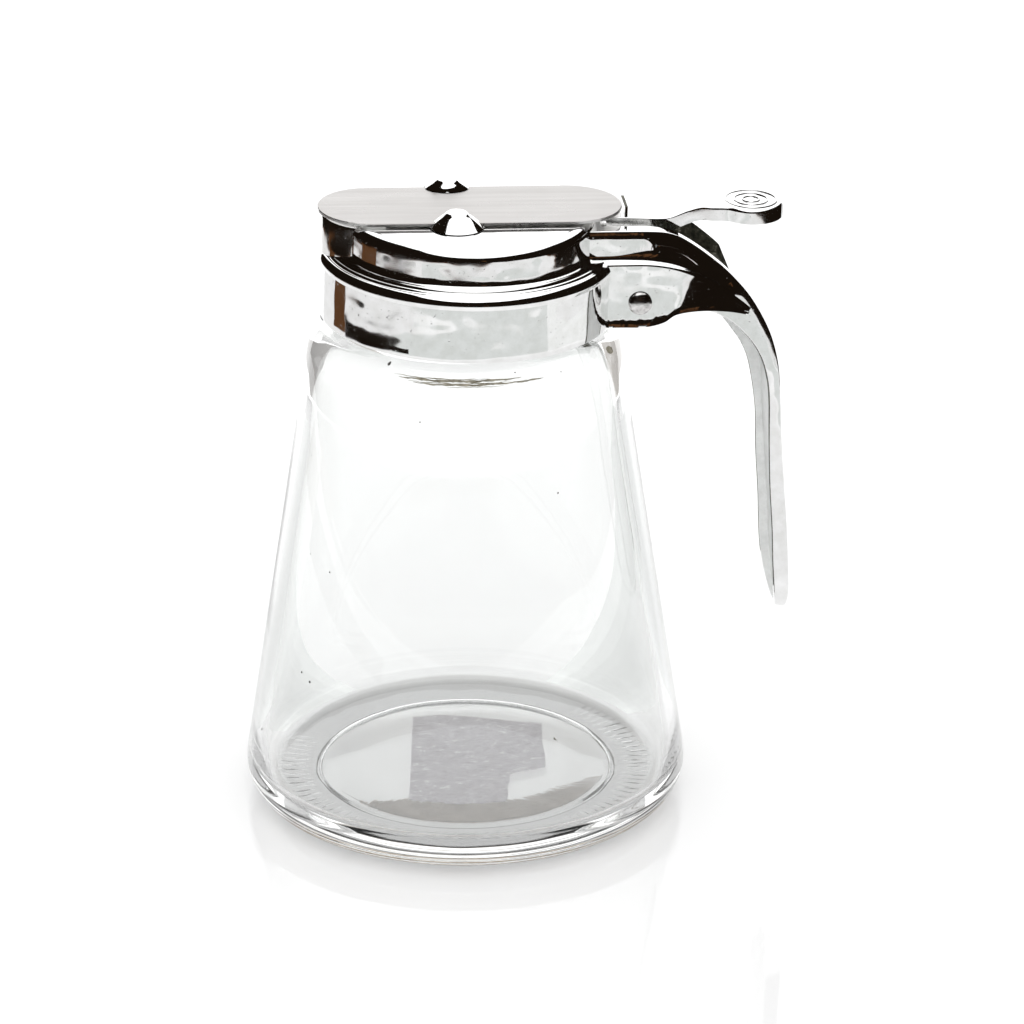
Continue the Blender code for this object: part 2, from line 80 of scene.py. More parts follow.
# Moulded grip marks under the heel: ring, depth, and where they are worn away at the back
TICK_COUNT = 106
STEPS_PER_TICK = 8
TICK_INNER_RADIUS = 0.0332
TICK_OUTER_RADIUS = 0.0407
TICK_DEPTH = 0.00010
TICK_END_SLOPE = 0.0008
TICK_MIDDLE_AZIMUTH = 8.0
TICK_WORN_FROM = 95.0
TICK_WORN_TO = 125.0
UNDERSIDE_Z = 0.0008

# Residue on and under the glass, and painted shade and reflections drawn the same way: thin films, with
# azimuth 0 at the front and 90 at the handle
FILM_THICKNESS = 0.00004
FILM_LIFT = 0.00002
MARK_INNER_RADIUS = 0.0350
MARK_OUTER_RADIUS = 0.0393
MARK_Z = 0.00010
MARK_REACH_DEG = 108.0
MARK_MISSING_SHARE = 0.12
# The brown film in front of the label is partly a glue stain and partly a painted reflection of the
# dark room
STAIN_AND_REFLECTION_Z = 0.00070
STAIN_AND_REFLECTION_OUTER_RADIUS = 0.0291
# The inner edge of the stain, which is partly a painted reflection of the dark room: azimuth and radius
STAIN_AND_REFLECTION_EDGE = [
    (-54.0, 0.0284), (-47.0, 0.0242), (-40.0, 0.0206), (-20.0, 0.0184), (0.0, 0.0180), (17.0, 0.0190),
    (30.0, 0.0202), (42.0, 0.0206), (54.0, 0.0216), (62.0, 0.0240), (72.0, 0.0266),
]
# Painted reflections drawn as brown lines round the foot's rounding: angle up the rounding, end
# azimuths and half width
HEEL_REFLECTION_LINES = [
    (27.0, -58.0, 60.0, 0.00010),
    (40.0, -72.0, 74.0, 0.00015),
    (54.0, -80.0, 82.0, 0.00012),
]
# Painted shade streaks along the shoulder, for the dark lines that its curve refracts: height, end
# azimuths and half width
SHOULDER_SHADE_STREAKS = [
    (0.10290, -33.0, 4.0, 0.00010),
    (0.10258, -31.0, 16.0, 0.00026),
    (0.10215, -27.0, 12.0, 0.00010),
    (0.10190, -25.0, 18.0, 0.00022),
    (0.10150, -12.0, 9.0, 0.00007),
    (0.10178, 14.0, 25.0, 0.00018),
]
BLOT_AZIMUTH = 64.8
BLOT_Z = 0.1012
# Specks on the outside of the glass: azimuth, height and half width
SPECKS = [
    (-36.7, 0.10420, 0.00030), (-21.5, 0.0942, 0.00016), (26.5, 0.0780, 0.00018),
    (-51.9, 0.0593, 0.00018), (-59.4, 0.0362, 0.00022), (-55.4, 0.0351, 0.00028),
    (-78.3, 0.0180, 0.00020), (-79.7, 0.0234, 0.00014), (-69.0, 0.0805, 0.00012),
    (-62.0, 0.0610, 0.00012), (14.0, 0.1035, 0.00014), (33.0, 0.1020, 0.00012),
]
CRUMB_AZIMUTH = 104.6
CRUMB_RADIUS = 0.0202
CRUMB_LENGTH = 0.0012

# Cap seat: the cap's pieces are designed level and then seated with a slight tilt
CAP_BOTTOM_Z = 0.10595
CAP_SHIFT_X = 0.0004
LEVEL_AXIS = Vector(frame["joints"][0]["axis"])
PIVOT = Matrix.Translation((0.0, 0.0, CAP_BOTTOM_Z))
TILT = Matrix.Rotation(math.atan2(-LEVEL_AXIS.z, LEVEL_AXIS.x), 4, "Y")
SEAT = (Matrix.Translation((JAR_X, 0.0, 0.0)) @ PIVOT @ TILT
        @ Matrix.Translation((CAP_SHIFT_X, 0.0, 0.0)) @ PIVOT.inverted())


# Cap shell
CAP_TOP_Z = 0.1278
TOP_DIP = 0.00006
COLLAR_RADIUS = 0.02995
COLLAR_CHAMFER = 0.0003
COLLAR_STEP = 0.0018
COLLAR_BORE_TOP_Z = 0.1181
DRUM_RADIUS = 0.0258
DRUM_ROUNDING = 0.0019
DRUM_FILLET = 0.0009
DRUM_BORE_BOTTOM_Z = 0.1190
LEDGE_Z = 0.12035
SHELL_THICKNESS = 0.0013
CAP_STEPS = 360
SPOUT_STEPS = 64
POUR_HOLE_STEPS = 48
# Bead and sloping ledge above the collar: radius and height
BEAD = [
    (0.02995, 0.1172), (0.03008, 0.1176), (0.0302, 0.1181), (0.03012, 0.1186), (0.02985, 0.1192),
    (0.02945, 0.11962), (0.0290, 0.11978),
]
LEDGE = [
    (0.02878, 0.11992), (0.02862, 0.12015), (0.02832, LEDGE_Z - 0.00002), (0.0276, LEDGE_Z),
    (0.0268, LEDGE_Z),
]

# How far a cutting solid reaches past the opening that it makes
CUT_PAST = 0.0020
FAR_CUT_PAST = 0.0060

# Spout
SPOUT_REACH = 0.0298
SPOUT_HALF_WIDTH = 0.0098
SPOUT_BOTTOM_Z = 0.1185
POUR_HOLE_INNER_X = -0.0175

# Bevel widths
CORE_BEVEL = 0.0005
CHANNEL_BEVEL = 0.0006
TROUGH_BEVEL = 0.0008
PANEL_BEVEL = 0.0004
SPOUT_BEVEL = 0.0009
TAB_BEVEL = 0.00008

# Handle
HANDLE_HALF_WIDTH = 0.0105
PANEL_HALF_WIDTH = 0.0117
CHANNEL_HALF_WIDTH = 0.0092
TROUGH_HALF_WIDTH = 0.0074
TROUGH_DEPTH = 0.0045
TROUGH_SHALLOWEST = 0.0006
TROUGH_FLOOR = 0.0013
# Past these places the trough and the rim get a near-black painted shade with grime, and the hollow
# gets a duller metal
GRIME_AND_SHADE_START_X = 0.0435
CUTTER_MATCH_REACH = 0.00001
RIM_START_X = 0.0560
GRIME_AND_SHADE_SLOT = 1
INNER_SLOT = 2
GRIP_ROUND_TOP_Z = 0.0500
GRIP_TIP_Z = 0.0392
TIP_HALF_WIDTH = 0.0016
TIP_THICKNESS = 0.0014
# Stretches of x over which a form comes or goes: the arch's steep sides, the fillet
# over the ridge, the panel's lean towards its tip, and the lever's rounding
ARCH_START = (0.0345, 0.0420)
ARCH_END = (0.0500, 0.0560)
FILLET_START = (0.028, 0.038)
FILLET_END = (0.040, 0.050)
TIP_LEAN_START = (0.040, 0.052)
LEVER_ROUND_START = (0.039, 0.046)
SIDE_SHARES = (0.0, 0.18, 0.36, 0.54, 0.75, 1.0)
EDGE_LEAN = 0.00024
EDGE_LEAN_DEPTH = 0.0018
SIDE_LEAN = 0.00055
SIDE_LEAN_DEPTH = 0.0078
FILLET_WIDTH = 0.0007
FILLET_RISE = 0.0027
RIDGE_ROUNDING = 0.0007
PANEL_FLARE = 0.00022
PANEL_FLARE_DEPTH = 0.0020
TIP_LEAN = 0.0009
RIVET_X = 0.0341
RIVET_Z = 0.1114
RIVET_RADIUS = 0.0024
RIVET_RISE = 0.0011

# Guide studs, plate and lever
PLATE_TOP_Z = 0.1288
PLATE_HALF_WIDTH = 0.0107
PLATE_RIGHT_X = 0.0312
GAP = 0.0003
STUD_X = -0.0034
STUD_OFFSET_Y = 0.0099
STUD_RADIUS = 0.0056
STUD_CHAMFER = 0.0001
STUD_TOP_RADIUS = 0.0020
STUD_TOP_Z = 0.1309
STUD_BELLY = 0.00012
STUD_INNER_SHARE = 0.55
SLOT_CLEARANCE = 0.00012
LEVER_SKIRT = 0.0031
LEVER_SHEET = 0.0008
LEVER_EDGE = 0.00075
LEVER_BLEND = 8
LEVER_END_HALF_WIDTH = 0.0009
PAD_X = 0.0577
PAD_RADIUS = 0.0065
PAD_TOP_Z = 0.1291
PAD_SECTIONS = 48
PAD_RING_RADII = (0.0052, 0.0034, 0.0017)
PAD_RING_HALF_WIDTH = 0.00026
PAD_RING_RISE = 0.00026
PAD_RING_STEPS = 96
TAB_BOTTOM_Z = 0.1268
TAB_RISE = 0.0003
TAB_HALF_WIDTH = 0.0034
TAB_THICKNESS = 0.0006

# Camera, found from the jar's and the cap's circles in the photograph
CAMERA_FROM_JAR = Vector((-0.111091, -1.094376, 0.533596))
CAMERA_RIGHT = Vector((0.993949, -0.109847, 0.0))
CAMERA_UP = Vector((0.043350, 0.392255, 0.918835))
LENS = 203.55
SENSOR = 36.0

# Points closer than this are one point, and edges sharper than this show as edges
WELD = 1e-6
SHARP_DEG = 32.0
GLASS_SHARP_DEG = 50.0


def clamp(value, low=0.0, high=1.0):
    return max(low, min(high, value))


def smooth_step(low, high, value):
    t = clamp((value - low) / (high - low))
    return t * t * (3.0 - 2.0 * t)


def read_curve(points, value):
    """Straight-line value of a curve given as (place, value) points."""
    for (low, low_value), (high, high_value) in zip(points, points[1:]):
        if value <= high:
            break
    return low_value + (high_value - low_value) * clamp((value - low) / (high - low))


def wander(value, seed):
    """Slow irregular curve between about -1 and 1."""
    return (math.sin(value * 0.9 + seed) + 0.6 * math.sin(value * 2.3 + 2 * seed)
            + 0.4 * math.sin(value * 5.1 + 3 * seed)) / 2.0


def between(start, end, count):
    """Points on the straight line between two points, ends left out."""
    return [tuple(p + (q - p) * (i / count) for p, q in zip(start, end)) for i in range(1, count)]


def arc(centre, radius, start_deg, end_deg, count):
    """Points on a circle arc in a profile plane, ends included."""
    points = []
    for i in range(count + 1):
        angle = math.radians(start_deg + (end_deg - start_deg) * i / count)
        points.append((centre[0] + radius * math.cos(angle), centre[1] + radius * math.sin(angle)))
    return points


def smooth_line(points, per_span):
    """Smooth curve through all the points, ends included."""
    result = []
    last = len(points) - 1
    for i in range(last):
        a = points[max(i - 1, 0)]
        b = points[i]
        c = points[i + 1]
        d = points[min(i + 2, last)]
        for step in range(per_span):
            t = step / per_span
            result.append(tuple(
                0.5 * (2 * q + (r - p) * t + (2 * p - 5 * q + 4 * r - s) * t * t
                       + (3 * q - p - 3 * r + s) * t ** 3)
                for p, q, r, s in zip(a, b, c, d)))
    result.append(points[last])
    return result


def new_object(name, data):
    obj = bpy.data.objects.new(name, data)
    bpy.context.scene.collection.objects.link(obj)
    return obj


def new_mesh_object(name, vertices, faces, mat, smooth=True):
    mesh = bpy.data.meshes.new(name)
    mesh.from_pydata(vertices, [], faces)
    mesh.materials.append(mat)
    if smooth:
        mesh.shade_smooth()
    return new_object(name, mesh)


def bake(obj):
    """Replace an object's mesh with the result of its modifiers."""
    graph = bpy.context.evaluated_depsgraph_get()
    result = bpy.data.meshes.new_from_object(obj.evaluated_get(graph))
    obj.modifiers.clear()
    obj.data = result


def combine(obj, operand, operation):
    """Join or cut with a Boolean, and drop the operand."""
    modifier = obj.modifiers.new(operation.lower(), "BOOLEAN")
    modifier.operation = operation
    modifier.solver = "MANIFOLD"
    modifier.object = operand
    bake(obj)
    bpy.data.objects.remove(operand)


def bevel(obj, width, segments=4, angle_deg=40.0):
    modifier = obj.modifiers.new("bevel", "BEVEL")
    modifier.width = width
    modifier.segments = segments
    modifier.limit_method = "ANGLE"
    modifier.angle_limit = math.radians(angle_deg)
    bake(obj)


def solid(name, vertices, faces):
    """Closed working solid with its faces turned outwards."""
    mesh = bpy.data.meshes.new(name)
    mesh.from_pydata(vertices, [], faces)
    bm = bmesh.new()
    bm.from_mesh(mesh)
    bmesh.ops.recalc_face_normals(bm, faces=bm.faces)
    bm.to_mesh(mesh)
    bm.free()
    return new_object(name, mesh)


def turned_faces(ring_count, steps):
    """Faces over a point below, rings of equal point counts, and a point above."""
    last = 1 + (ring_count - 1) * steps
    top = last + steps
    faces = []
    for i in range(steps):
        j = (i + 1) % steps
        faces.append((0, 1 + j, 1 + i))
        faces.append((last + i, last + j, top))
        for ring in range(ring_count - 1):
            first = 1 + ring * steps
            second = first + steps
            faces.append((first + i, first + j, second + j, second + i))
    return faces


def turned(name, profile, steps):
    """Turn a (radius, z) profile whose two ends lie on the axis."""
    vertices = [(0.0, 0.0, profile[0][1])]
    for radius, z in profile[1:-1]:
        for i in range(steps):
            angle = 2 * math.pi * i / steps
            vertices.append((radius * math.cos(angle), radius * math.sin(angle), z))
    vertices.append((0.0, 0.0, profile[-1][1]))
    return solid(name, vertices, turned_faces(len(profile) - 2, steps))


def loft(name, rings, closed=False):
    """Solid through rings of equal point counts, with flat ends or closed on itself."""
    count = len(rings[0])
    vertices = [point for ring in rings for point in ring]
    faces = []
    if not closed:
        faces = [tuple(range(count)), tuple(range(len(vertices) - count, len(vertices)))]
    for k in range(len(rings) if closed else len(rings) - 1):
        this = k * count
        following = (k + 1) % len(rings) * count
        for i in range(count):
            j = (i + 1) % count
            faces.append((this + i, this + j, following + j, following + i))
    return solid(name, vertices, faces)


def prism(name, outline, bottom_z, top_z):
    return loft(name, [[(x, y, z) for x, y in outline] for z in (bottom_z, top_z)])


def crosswise(top, bottom, half_width):
    """Rectangle across the cap between two (x, z) places."""
    (top_x, top_z), (bottom_x, bottom_z) = top, bottom
    return [(top_x, -half_width, top_z), (top_x, half_width, top_z),
            (bottom_x, half_width, bottom_z), (bottom_x, -half_width, bottom_z)]


def both_sides(section):
    """Section made whole by its mirror image, on the other side of the cap's middle."""
    return [(x, -y, z) for x, y, z in section[::-1]] + section


def oblong(left_x, right_x, low_y, high_y):
    return [(left_x, low_y), (right_x, low_y), (right_x, high_y), (left_x, high_y)]


def stadium(left_x, right_x, half_width, steps):
    """Plan outline with a half-round left end and a square right end."""
    points = arc((left_x + half_width, 0.0), half_width, 90, 270, steps)
    return points + [(right_x, -half_width), (right_x, half_width)]


def seat_piece(obj, name, mat, body, replaced):
    """Seat a finished piece on the jar and hand it to its body."""
    obj.name = name
    obj.data.name = name
    bm = bmesh.new()
    bm.from_mesh(obj.data)
    bmesh.ops.remove_doubles(bm, verts=bm.verts, dist=WELD)
    bmesh.ops.dissolve_degenerate(bm, edges=bm.edges, dist=WELD)
    bm.to_mesh(obj.data)
    bm.free()
    obj.data.transform(SEAT)
    obj.data.materials.clear()
    obj.data.materials.append(mat)
    obj.data.shade_smooth()
    obj.data.set_sharp_from_angle(angle=math.radians(SHARP_DEG))
    weights = obj.modifiers.new("even_shading", "WEIGHTED_NORMAL")
    weights.keep_sharp = True
    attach(obj, body)
    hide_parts(replaced)
    return obj


def cap_shell():
    """Collar, bead, ledge and drum as one turned solid, still closed below."""
    fillet = arc((DRUM_RADIUS + DRUM_FILLET, LEDGE_Z + DRUM_FILLET), DRUM_FILLET, -90, -180, 8)
    crown = DRUM_RADIUS - DRUM_ROUNDING
    profile = [
        (0.0, CAP_BOTTOM_Z),
        (COLLAR_RADIUS - COLLAR_CHAMFER, CAP_BOTTOM_Z),
        (COLLAR_RADIUS - COLLAR_CHAMFER / 3, CAP_BOTTOM_Z + COLLAR_CHAMFER / 3),
        *[(COLLAR_RADIUS, CAP_BOTTOM_Z + COLLAR_CHAMFER + COLLAR_STEP * i) for i in range(6)],
        *smooth_line(BEAD, 4),
        *smooth_line(LEDGE, 3),
        *fillet,
        *[(DRUM_RADIUS, LEDGE_Z + DRUM_FILLET + DRUM_FILLET * i) for i in range(1, 5)],
        *arc((crown, CAP_TOP_Z - DRUM_ROUNDING), DRUM_ROUNDING, 0, 90, 12),
        (crown - 0.0004, CAP_TOP_Z),
        (crown - 0.0006, CAP_TOP_Z - TOP_DIP),
        (0.0, CAP_TOP_Z - TOP_DIP),
    ]
    return turned("cap_shell", profile, CAP_STEPS)


def cap_cavity():
    """Room inside the cap for the jar's neck, open below."""
    collar_bore = COLLAR_RADIUS - SHELL_THICKNESS
    drum_bore = DRUM_RADIUS - SHELL_THICKNESS
    profile = [
        (0.0, CAP_BOTTOM_Z - CUT_PAST),
        (collar_bore, CAP_BOTTOM_Z - CUT_PAST),
        (collar_bore, COLLAR_BORE_TOP_Z),
        (drum_bore, DRUM_BORE_BOTTOM_Z),
        (drum_bore, CAP_TOP_Z - SHELL_THICKNESS),
        (0.0, CAP_TOP_Z - SHELL_THICKNESS),
    ]
    return turned("cavity", profile, CAP_STEPS // 2)


# Side view of the handle, from inside the cap out over the arch and down the grip. Each
# station is the outer line's (x, z), the inner line's (x, z), the channel's roof depth
# and how much deeper the back flange reaches than the front one.
HANDLE_STATIONS = [
    (0.0200, 0.1264, 0.0200, 0.1063, 0.0060, 0.0),
    (0.0310, 0.1264, 0.0295, 0.1063, 0.0060, 0.0),
    (0.0360, 0.1263, 0.0350, 0.1063, 0.0060, 0.0),
    (0.0402, 0.1256, 0.0390, 0.1072, 0.0060, 0.0),
    (0.0442, 0.1235, 0.0415, 0.1089, 0.0060, 0.0),
    (0.0486, 0.1203, 0.0455, 0.1097, 0.0058, 0.0),
    (0.0527, 0.1167, 0.0497, 0.1085, 0.0028, 0.0010),
    (0.0565, 0.1124, 0.0534, 0.1064, 0.0014, 0.0030),
    (0.0596, 0.1074, 0.0567, 0.1032, 0.0012, 0.0042),
    (0.0618, 0.1025, 0.0592, 0.0996, 0.0012, 0.0038),
    (0.0633, 0.0967, 0.0608, 0.0953, 0.0012, 0.0026),
    (0.0640, 0.0900, 0.0617, 0.0898, 0.0012, 0.0014),
    (0.0647, 0.0800, 0.0621, 0.0800, 0.0012, 0.0),
    (0.0657, 0.0700, 0.0627, 0.0700, 0.0012, 0.0),
    (0.0667, 0.0600, 0.0636, 0.0600, 0.0012, 0.0),
    (0.0673, 0.0520, 0.0641, 0.0523, 0.0012, 0.0),
    (0.0678, 0.0450, 0.0648, 0.0456, 0.0012, 0.0),
    (0.0678, 0.0392, 0.0660, 0.0396, 0.0012, 0.0),
]
STATION_STEPS = 8


def end_rounding(z, tip_z):
    """Share of the full width left at a height within the grip's half-round end."""
    if z >= GRIP_ROUND_TOP_Z:
        return 1.0
    part = (GRIP_ROUND_TOP_Z - z) / (GRIP_ROUND_TOP_Z - tip_z)
    return math.sqrt(max(1.0 - part * part, 0.0))


def handle_core():
    """Full section of the arch and grip, its sides leaning in towards the outer edge."""
    rings = []
    for xo, zo, xi, zi, _, deeper in smooth_line(HANDLE_STATIONS, STATION_STEPS):
        half = max(HANDLE_HALF_WIDTH * end_rounding(zo, GRIP_TIP_Z), TIP_HALF_WIDTH)
        outer = Vector((xo, zo))
        inner = Vector((xi, zi))
        height = (inner - outer).length
        inward = (inner - outer) / height
        steep = smooth_step(*ARCH_START, xo) * (1.0 - smooth_step(*ARCH_END, xo))
        depth = EDGE_LEAN_DEPTH + (SIDE_LEAN_DEPTH - EDGE_LEAN_DEPTH) * steep
        lean_depth = min(depth, height * 0.6)
        lean = min(EDGE_LEAN, half * 0.3)
        side = []
        for share in SIDE_SHARES:
            place = outer + inward * (lean_depth * share)
            rest = 1.0 - share
            side.append((place.x, half - lean * rest ** 2 - SIDE_LEAN * steep * rest, place.y))
        back = inner + inward * deeper
        rings.append(both_sides(side) + [(back.x, half, back.y), (xi, -half, zi)])
    core = loft("handle_core", rings)
    bevel(core, CORE_BEVEL)
    return core


def handle_channel():
    """Hollow under the arch that runs on down the grip's inner side."""
    rings = []
    for xo, zo, xi, zi, roof, _ in smooth_line(HANDLE_STATIONS[1:], STATION_STEPS):
        half = CHANNEL_HALF_WIDTH * end_rounding(zo, GRIP_TIP_Z + TIP_THICKNESS)
        if half == 0.0:
            break
        outer = Vector((xo, zo))
        inner = Vector((xi, zi))
        inward = (inner - outer).normalized()
        top = outer + inward * roof
        mouth = inner + inward * FAR_CUT_PAST
        rings.append(crosswise(top, mouth, half))
    channel = loft("channel", rings)
    bevel(channel, CHANNEL_BEVEL, segments=3)
    return channel


def handle_trough():
    """Open channel along the arch's top, in which the lever runs."""
    start_x = DRUM_RADIUS + 0.0004
    rings = []
    for xo, zo, xi, zi, roof, _ in smooth_line(HANDLE_STATIONS[:7], STATION_STEPS):
        if rings and xo <= start_x:
            continue
        inward = Vector((xi - xo, zi - zo)).normalized()
        edge = Vector((max(xo, start_x), zo))
        floor = edge + inward * clamp(roof - TROUGH_FLOOR, TROUGH_SHALLOWEST, TROUGH_DEPTH)
        sky = edge - inward * FAR_CUT_PAST
        rings.append(crosswise(sky, floor, TROUGH_HALF_WIDTH))
    trough = loft("trough", rings)
    bevel(trough, TROUGH_BEVEL)
    return trough


# Raised lower side of the handle: the ridge line's (x, z) over the bottom line's (x, z)
PANEL_STATIONS = [
    (0.0230, 0.1199, 0.0230, 0.1062),
    (0.0300, 0.1200, 0.0300, 0.1062),
    (0.0360, 0.1199, 0.0352, 0.1062),
    (0.0412, 0.1190, 0.0390, 0.1071),
    (0.0462, 0.1170, 0.0417, 0.1088),
    (0.0508, 0.1145, 0.0465, 0.1095),
    (0.0548, 0.1115, 0.0520, 0.1093),
    (0.0571, 0.1096, 0.0562, 0.1086),
]


def panel_section(top, bottom, lean):
    """Half section of a panel as (x, y, z) points, from its fillet to the flared lower edge."""
    height = (bottom - top).length
    down = (bottom - top) / height
    squash = min(1.0, height * 0.5 / RIDGE_ROUNDING)
    rise = FILLET_RISE * (0.6 + 0.7 * smooth_step(*FILLET_START, top.x)
                          - 1.2 * smooth_step(*FILLET_END, top.x))
    foot = HANDLE_HALF_WIDTH - lean
    fillet = [(foot - 0.00003 + FILLET_WIDTH * (1.0 - across), rise * (1.0 - up))
              for across, up in arc((0.0, 0.0), 1.0, 0, 90, 9)]
    ridge_y = PANEL_HALF_WIDTH - lean - RIDGE_ROUNDING
    ridge = arc((ridge_y, -RIDGE_ROUNDING), RIDGE_ROUNDING, 90, 0, 6)
    section = []
    for y, up in [(foot - 0.0012, rise)] + fillet + ridge:
        place = top - down * (up * squash)
        section.append((place.x, y, place.y))
    x = bottom.x
    ragged = 0.10 * math.sin(x * 1700) + 0.08 * math.sin(x * 3900 + 1.0) + 0.05 * math.sin(x * 7300)
    flare_depth = min(PANEL_FLARE_DEPTH * (1.0 + ragged), height * 0.4)
    for i in range(5):
        share = i / 4
        place = bottom - down * (flare_depth * (1 - share))
        section.append((place.x, PANEL_HALF_WIDTH + PANEL_FLARE * share ** 2, place.y))
    return section


def handle_panels():
    """Panels under a filleted, rounded ridge, with a slight uneven flare along the lower edge."""
    rings = []
    for xt, zt, xb, zb in smooth_line(PANEL_STATIONS, STATION_STEPS):
        lean = TIP_LEAN * smooth_step(*TIP_LEAN_START, xt)
        rings.append(both_sides(panel_section(Vector((xt, zt)), Vector((xb, zb)), lean)))
    panels = loft("panels", rings)
    bevel(panels, PANEL_BEVEL, segments=3, angle_deg=50.0)
    return panels


def surface_of(obj):
    """Lookup of the faces of a cutting solid, which is then thrown away."""
    obj.data.transform(SEAT)
    mesh = obj.data
    found = BVHTree.FromPolygons([v.co for v in mesh.vertices], [p.vertices for p in mesh.polygons])
    bpy.data.objects.remove(obj)
    return found


def make_cap(mat, grime_and_shade, inner):
    """Casting in chrome. Its trough, and its rim past the arch, get a near-black colour that is painted
    shade and dark reflection with some unpolished grime, and its hollow gets a duller metal.
    """
    cap = cap_shell()
    spout = prism("spout", stadium(-SPOUT_REACH, 0.0, SPOUT_HALF_WIDTH, SPOUT_STEPS),
                  SPOUT_BOTTOM_Z, CAP_TOP_Z - 0.0001)
    bevel(spout, SPOUT_BEVEL, segments=5)
    combine(cap, spout, "UNION")
    combine(cap, handle_core(), "UNION")
    combine(cap, handle_panels(), "UNION")
    combine(cap, cap_cavity(), "DIFFERENCE")
    pour_hole = prism("pour_hole", stadium(-SPOUT_REACH + SHELL_THICKNESS, POUR_HOLE_INNER_X,
                                           SPOUT_HALF_WIDTH - SHELL_THICKNESS, POUR_HOLE_STEPS),
                      SPOUT_BOTTOM_Z + SHELL_THICKNESS, CAP_TOP_Z + 0.001)
    combine(cap, pour_hole, "DIFFERENCE")
    combine(cap, handle_trough(), "DIFFERENCE")
    combine(cap, handle_channel(), "DIFFERENCE")
    trough = surface_of(handle_trough())
    channel = surface_of(handle_channel())
    cap = seat_piece(cap, "cap_casting", mat, BODY, "cap")
    cap.data.materials.append(grime_and_shade)
    cap.data.materials.append(inner)
    # Painted shade: past the arch, the trough's faces and the rim's inner faces take the near-black
    # slot, and the hollow takes the duller one
    for face in cap.data.polygons:
        x = face.center.x - JAR_X
        on_rim = face.normal.x < -0.7 and abs(face.center.y) > CHANNEL_HALF_WIDTH - 0.0001
        if x > GRIME_AND_SHADE_START_X and trough.find_nearest(face.center, CUTTER_MATCH_REACH)[0]:
            face.material_index = GRIME_AND_SHADE_SLOT
        elif x > RIM_START_X and on_rim:
            face.material_index = GRIME_AND_SHADE_SLOT
        elif x > RIM_START_X and channel.find_nearest(face.center, CUTTER_MATCH_REACH)[0]:
            face.material_index = INNER_SLOT


def make_rivet(name, side, mat):
    """Domed head of the pin through the handle's side."""
    rim = 0.30
    root_z = -0.0004
    profile = [(0.0, root_z), (RIVET_RADIUS, root_z), (RIVET_RADIUS, RIVET_RISE * rim)]
    for across, up in arc((0.0, 0.0), 1.0, 0, 90, 12)[1:]:
        profile.append((RIVET_RADIUS * across, RIVET_RISE * (rim + (1 - rim) * up)))
    profile[-1] = (0.0, RIVET_RISE)
    head = turned(name, profile, 72)
    head.data.transform(Matrix.Rotation(math.radians(90) * -side, 4, "X"))
    head.data.transform(Matrix.Translation((RIVET_X, side * PANEL_HALF_WIDTH, RIVET_Z)))
    seat_piece(head, name + "_head", mat, BODY, name)


def make_stud(name, side, mat):
    """Conical stud over the plate's edge: a long slope outside, a steep face over the plate."""
    base_z = CAP_TOP_Z + GAP * 0.2
    rise = STUD_TOP_Z - base_z - 0.00025
    narrowing = STUD_TOP_RADIUS - STUD_RADIUS
    outline = [(STUD_RADIUS - STUD_CHAMFER, base_z)]
    for i in range(9):
        share = i / 9
        belly = STUD_BELLY * math.sin(math.pi * share)
        outline.append((STUD_RADIUS + narrowing * share + belly,
                        base_z + STUD_CHAMFER + rise * share))
    outline += [(STUD_TOP_RADIUS + STUD_CHAMFER, STUD_TOP_Z - STUD_CHAMFER),
                (STUD_TOP_RADIUS - STUD_CHAMFER, STUD_TOP_Z - 0.00002),
                (STUD_TOP_RADIUS - 0.0004, STUD_TOP_Z)]
    stud = turned(name, [(0.0, base_z)] + outline + [(0.0, STUD_TOP_Z)], 120)
    for vertex in stud.data.vertices:
        if vertex.co.y * side < 0.0:
            radius = math.hypot(vertex.co.x, vertex.co.y)
            slope = clamp((STUD_TOP_RADIUS - radius) / narrowing)
            vertex.co.y *= 1.0 + (STUD_INNER_SHARE - 1.0) * slope
    stud.data.transform(Matrix.Translation((STUD_X, side * STUD_OFFSET_Y, 0.0)))
    reach = 2 * STUD_RADIUS
    outer_y = side * (PLATE_HALF_WIDTH + GAP)
    outline = oblong(STUD_X - reach, STUD_X + reach, side * (STUD_OFFSET_Y - reach), outer_y)
    slot = prism("slot", outline, base_z - 0.001, PLATE_TOP_Z + SLOT_CLEARANCE)
    combine(stud, slot, "DIFFERENCE")
    seat_piece(stud, name + "_lug", mat, BODY, name)


# Lever's strip, from under the plate's end to the pad: x, half width and top height
LEVER_STATIONS = [
    (0.0276, 0.0048, 0.1274),
    (0.0330, 0.0050, 0.1273),
    (0.0385, 0.0050, 0.1271),
    (0.0408, 0.0048, 0.1273),
    (0.0440, 0.0044, 0.1286),
    (0.0468, 0.0043, 0.1294),
    (0.0490, 0.0044, 0.1293),
]


def lever_sections():
    """Sections along the strip and on over the round pad, denser towards the pad's end."""
    sections = smooth_line(LEVER_STATIONS, 6)
    strip_end_x, strip_half, strip_end_z = sections[-1]
    length = PAD_X + PAD_RADIUS - strip_end_x
    for i in range(1, PAD_SECTIONS + 1):
        share = math.sin(math.radians(90) * i / PAD_SECTIONS)
        x = strip_end_x + length * share
        half = math.sqrt(max(PAD_RADIUS ** 2 - (x - PAD_X) ** 2, 0.0))
        if x < PAD_X:
            half = (half ** LEVER_BLEND + strip_half ** LEVER_BLEND) ** (1 / LEVER_BLEND)
            half = min(half, PAD_RADIUS)
        z = strip_end_z + (PAD_TOP_Z - strip_end_z) * min(1.0, 2 * share)
        sections.append((x, max(half, LEVER_END_HALF_WIDTH), z))
    return sections


def lever_room(sections):
    """Hollow between the lever's skirts, open below and at the tail."""
    end_x = sections[-1][0] - LEVER_SHEET
    rings = []
    for x, half, z in sections:
        inside = half - LEVER_SHEET
        roof = z - LEVER_SHEET
        mouth = z - LEVER_SKIRT - CUT_PAST
        start = x if rings else x - CUT_PAST
        if inside > 0.0 and x < end_x:
            rings.append(crosswise((start, roof), (start, mouth), inside))
    return loft("lever_room", rings)


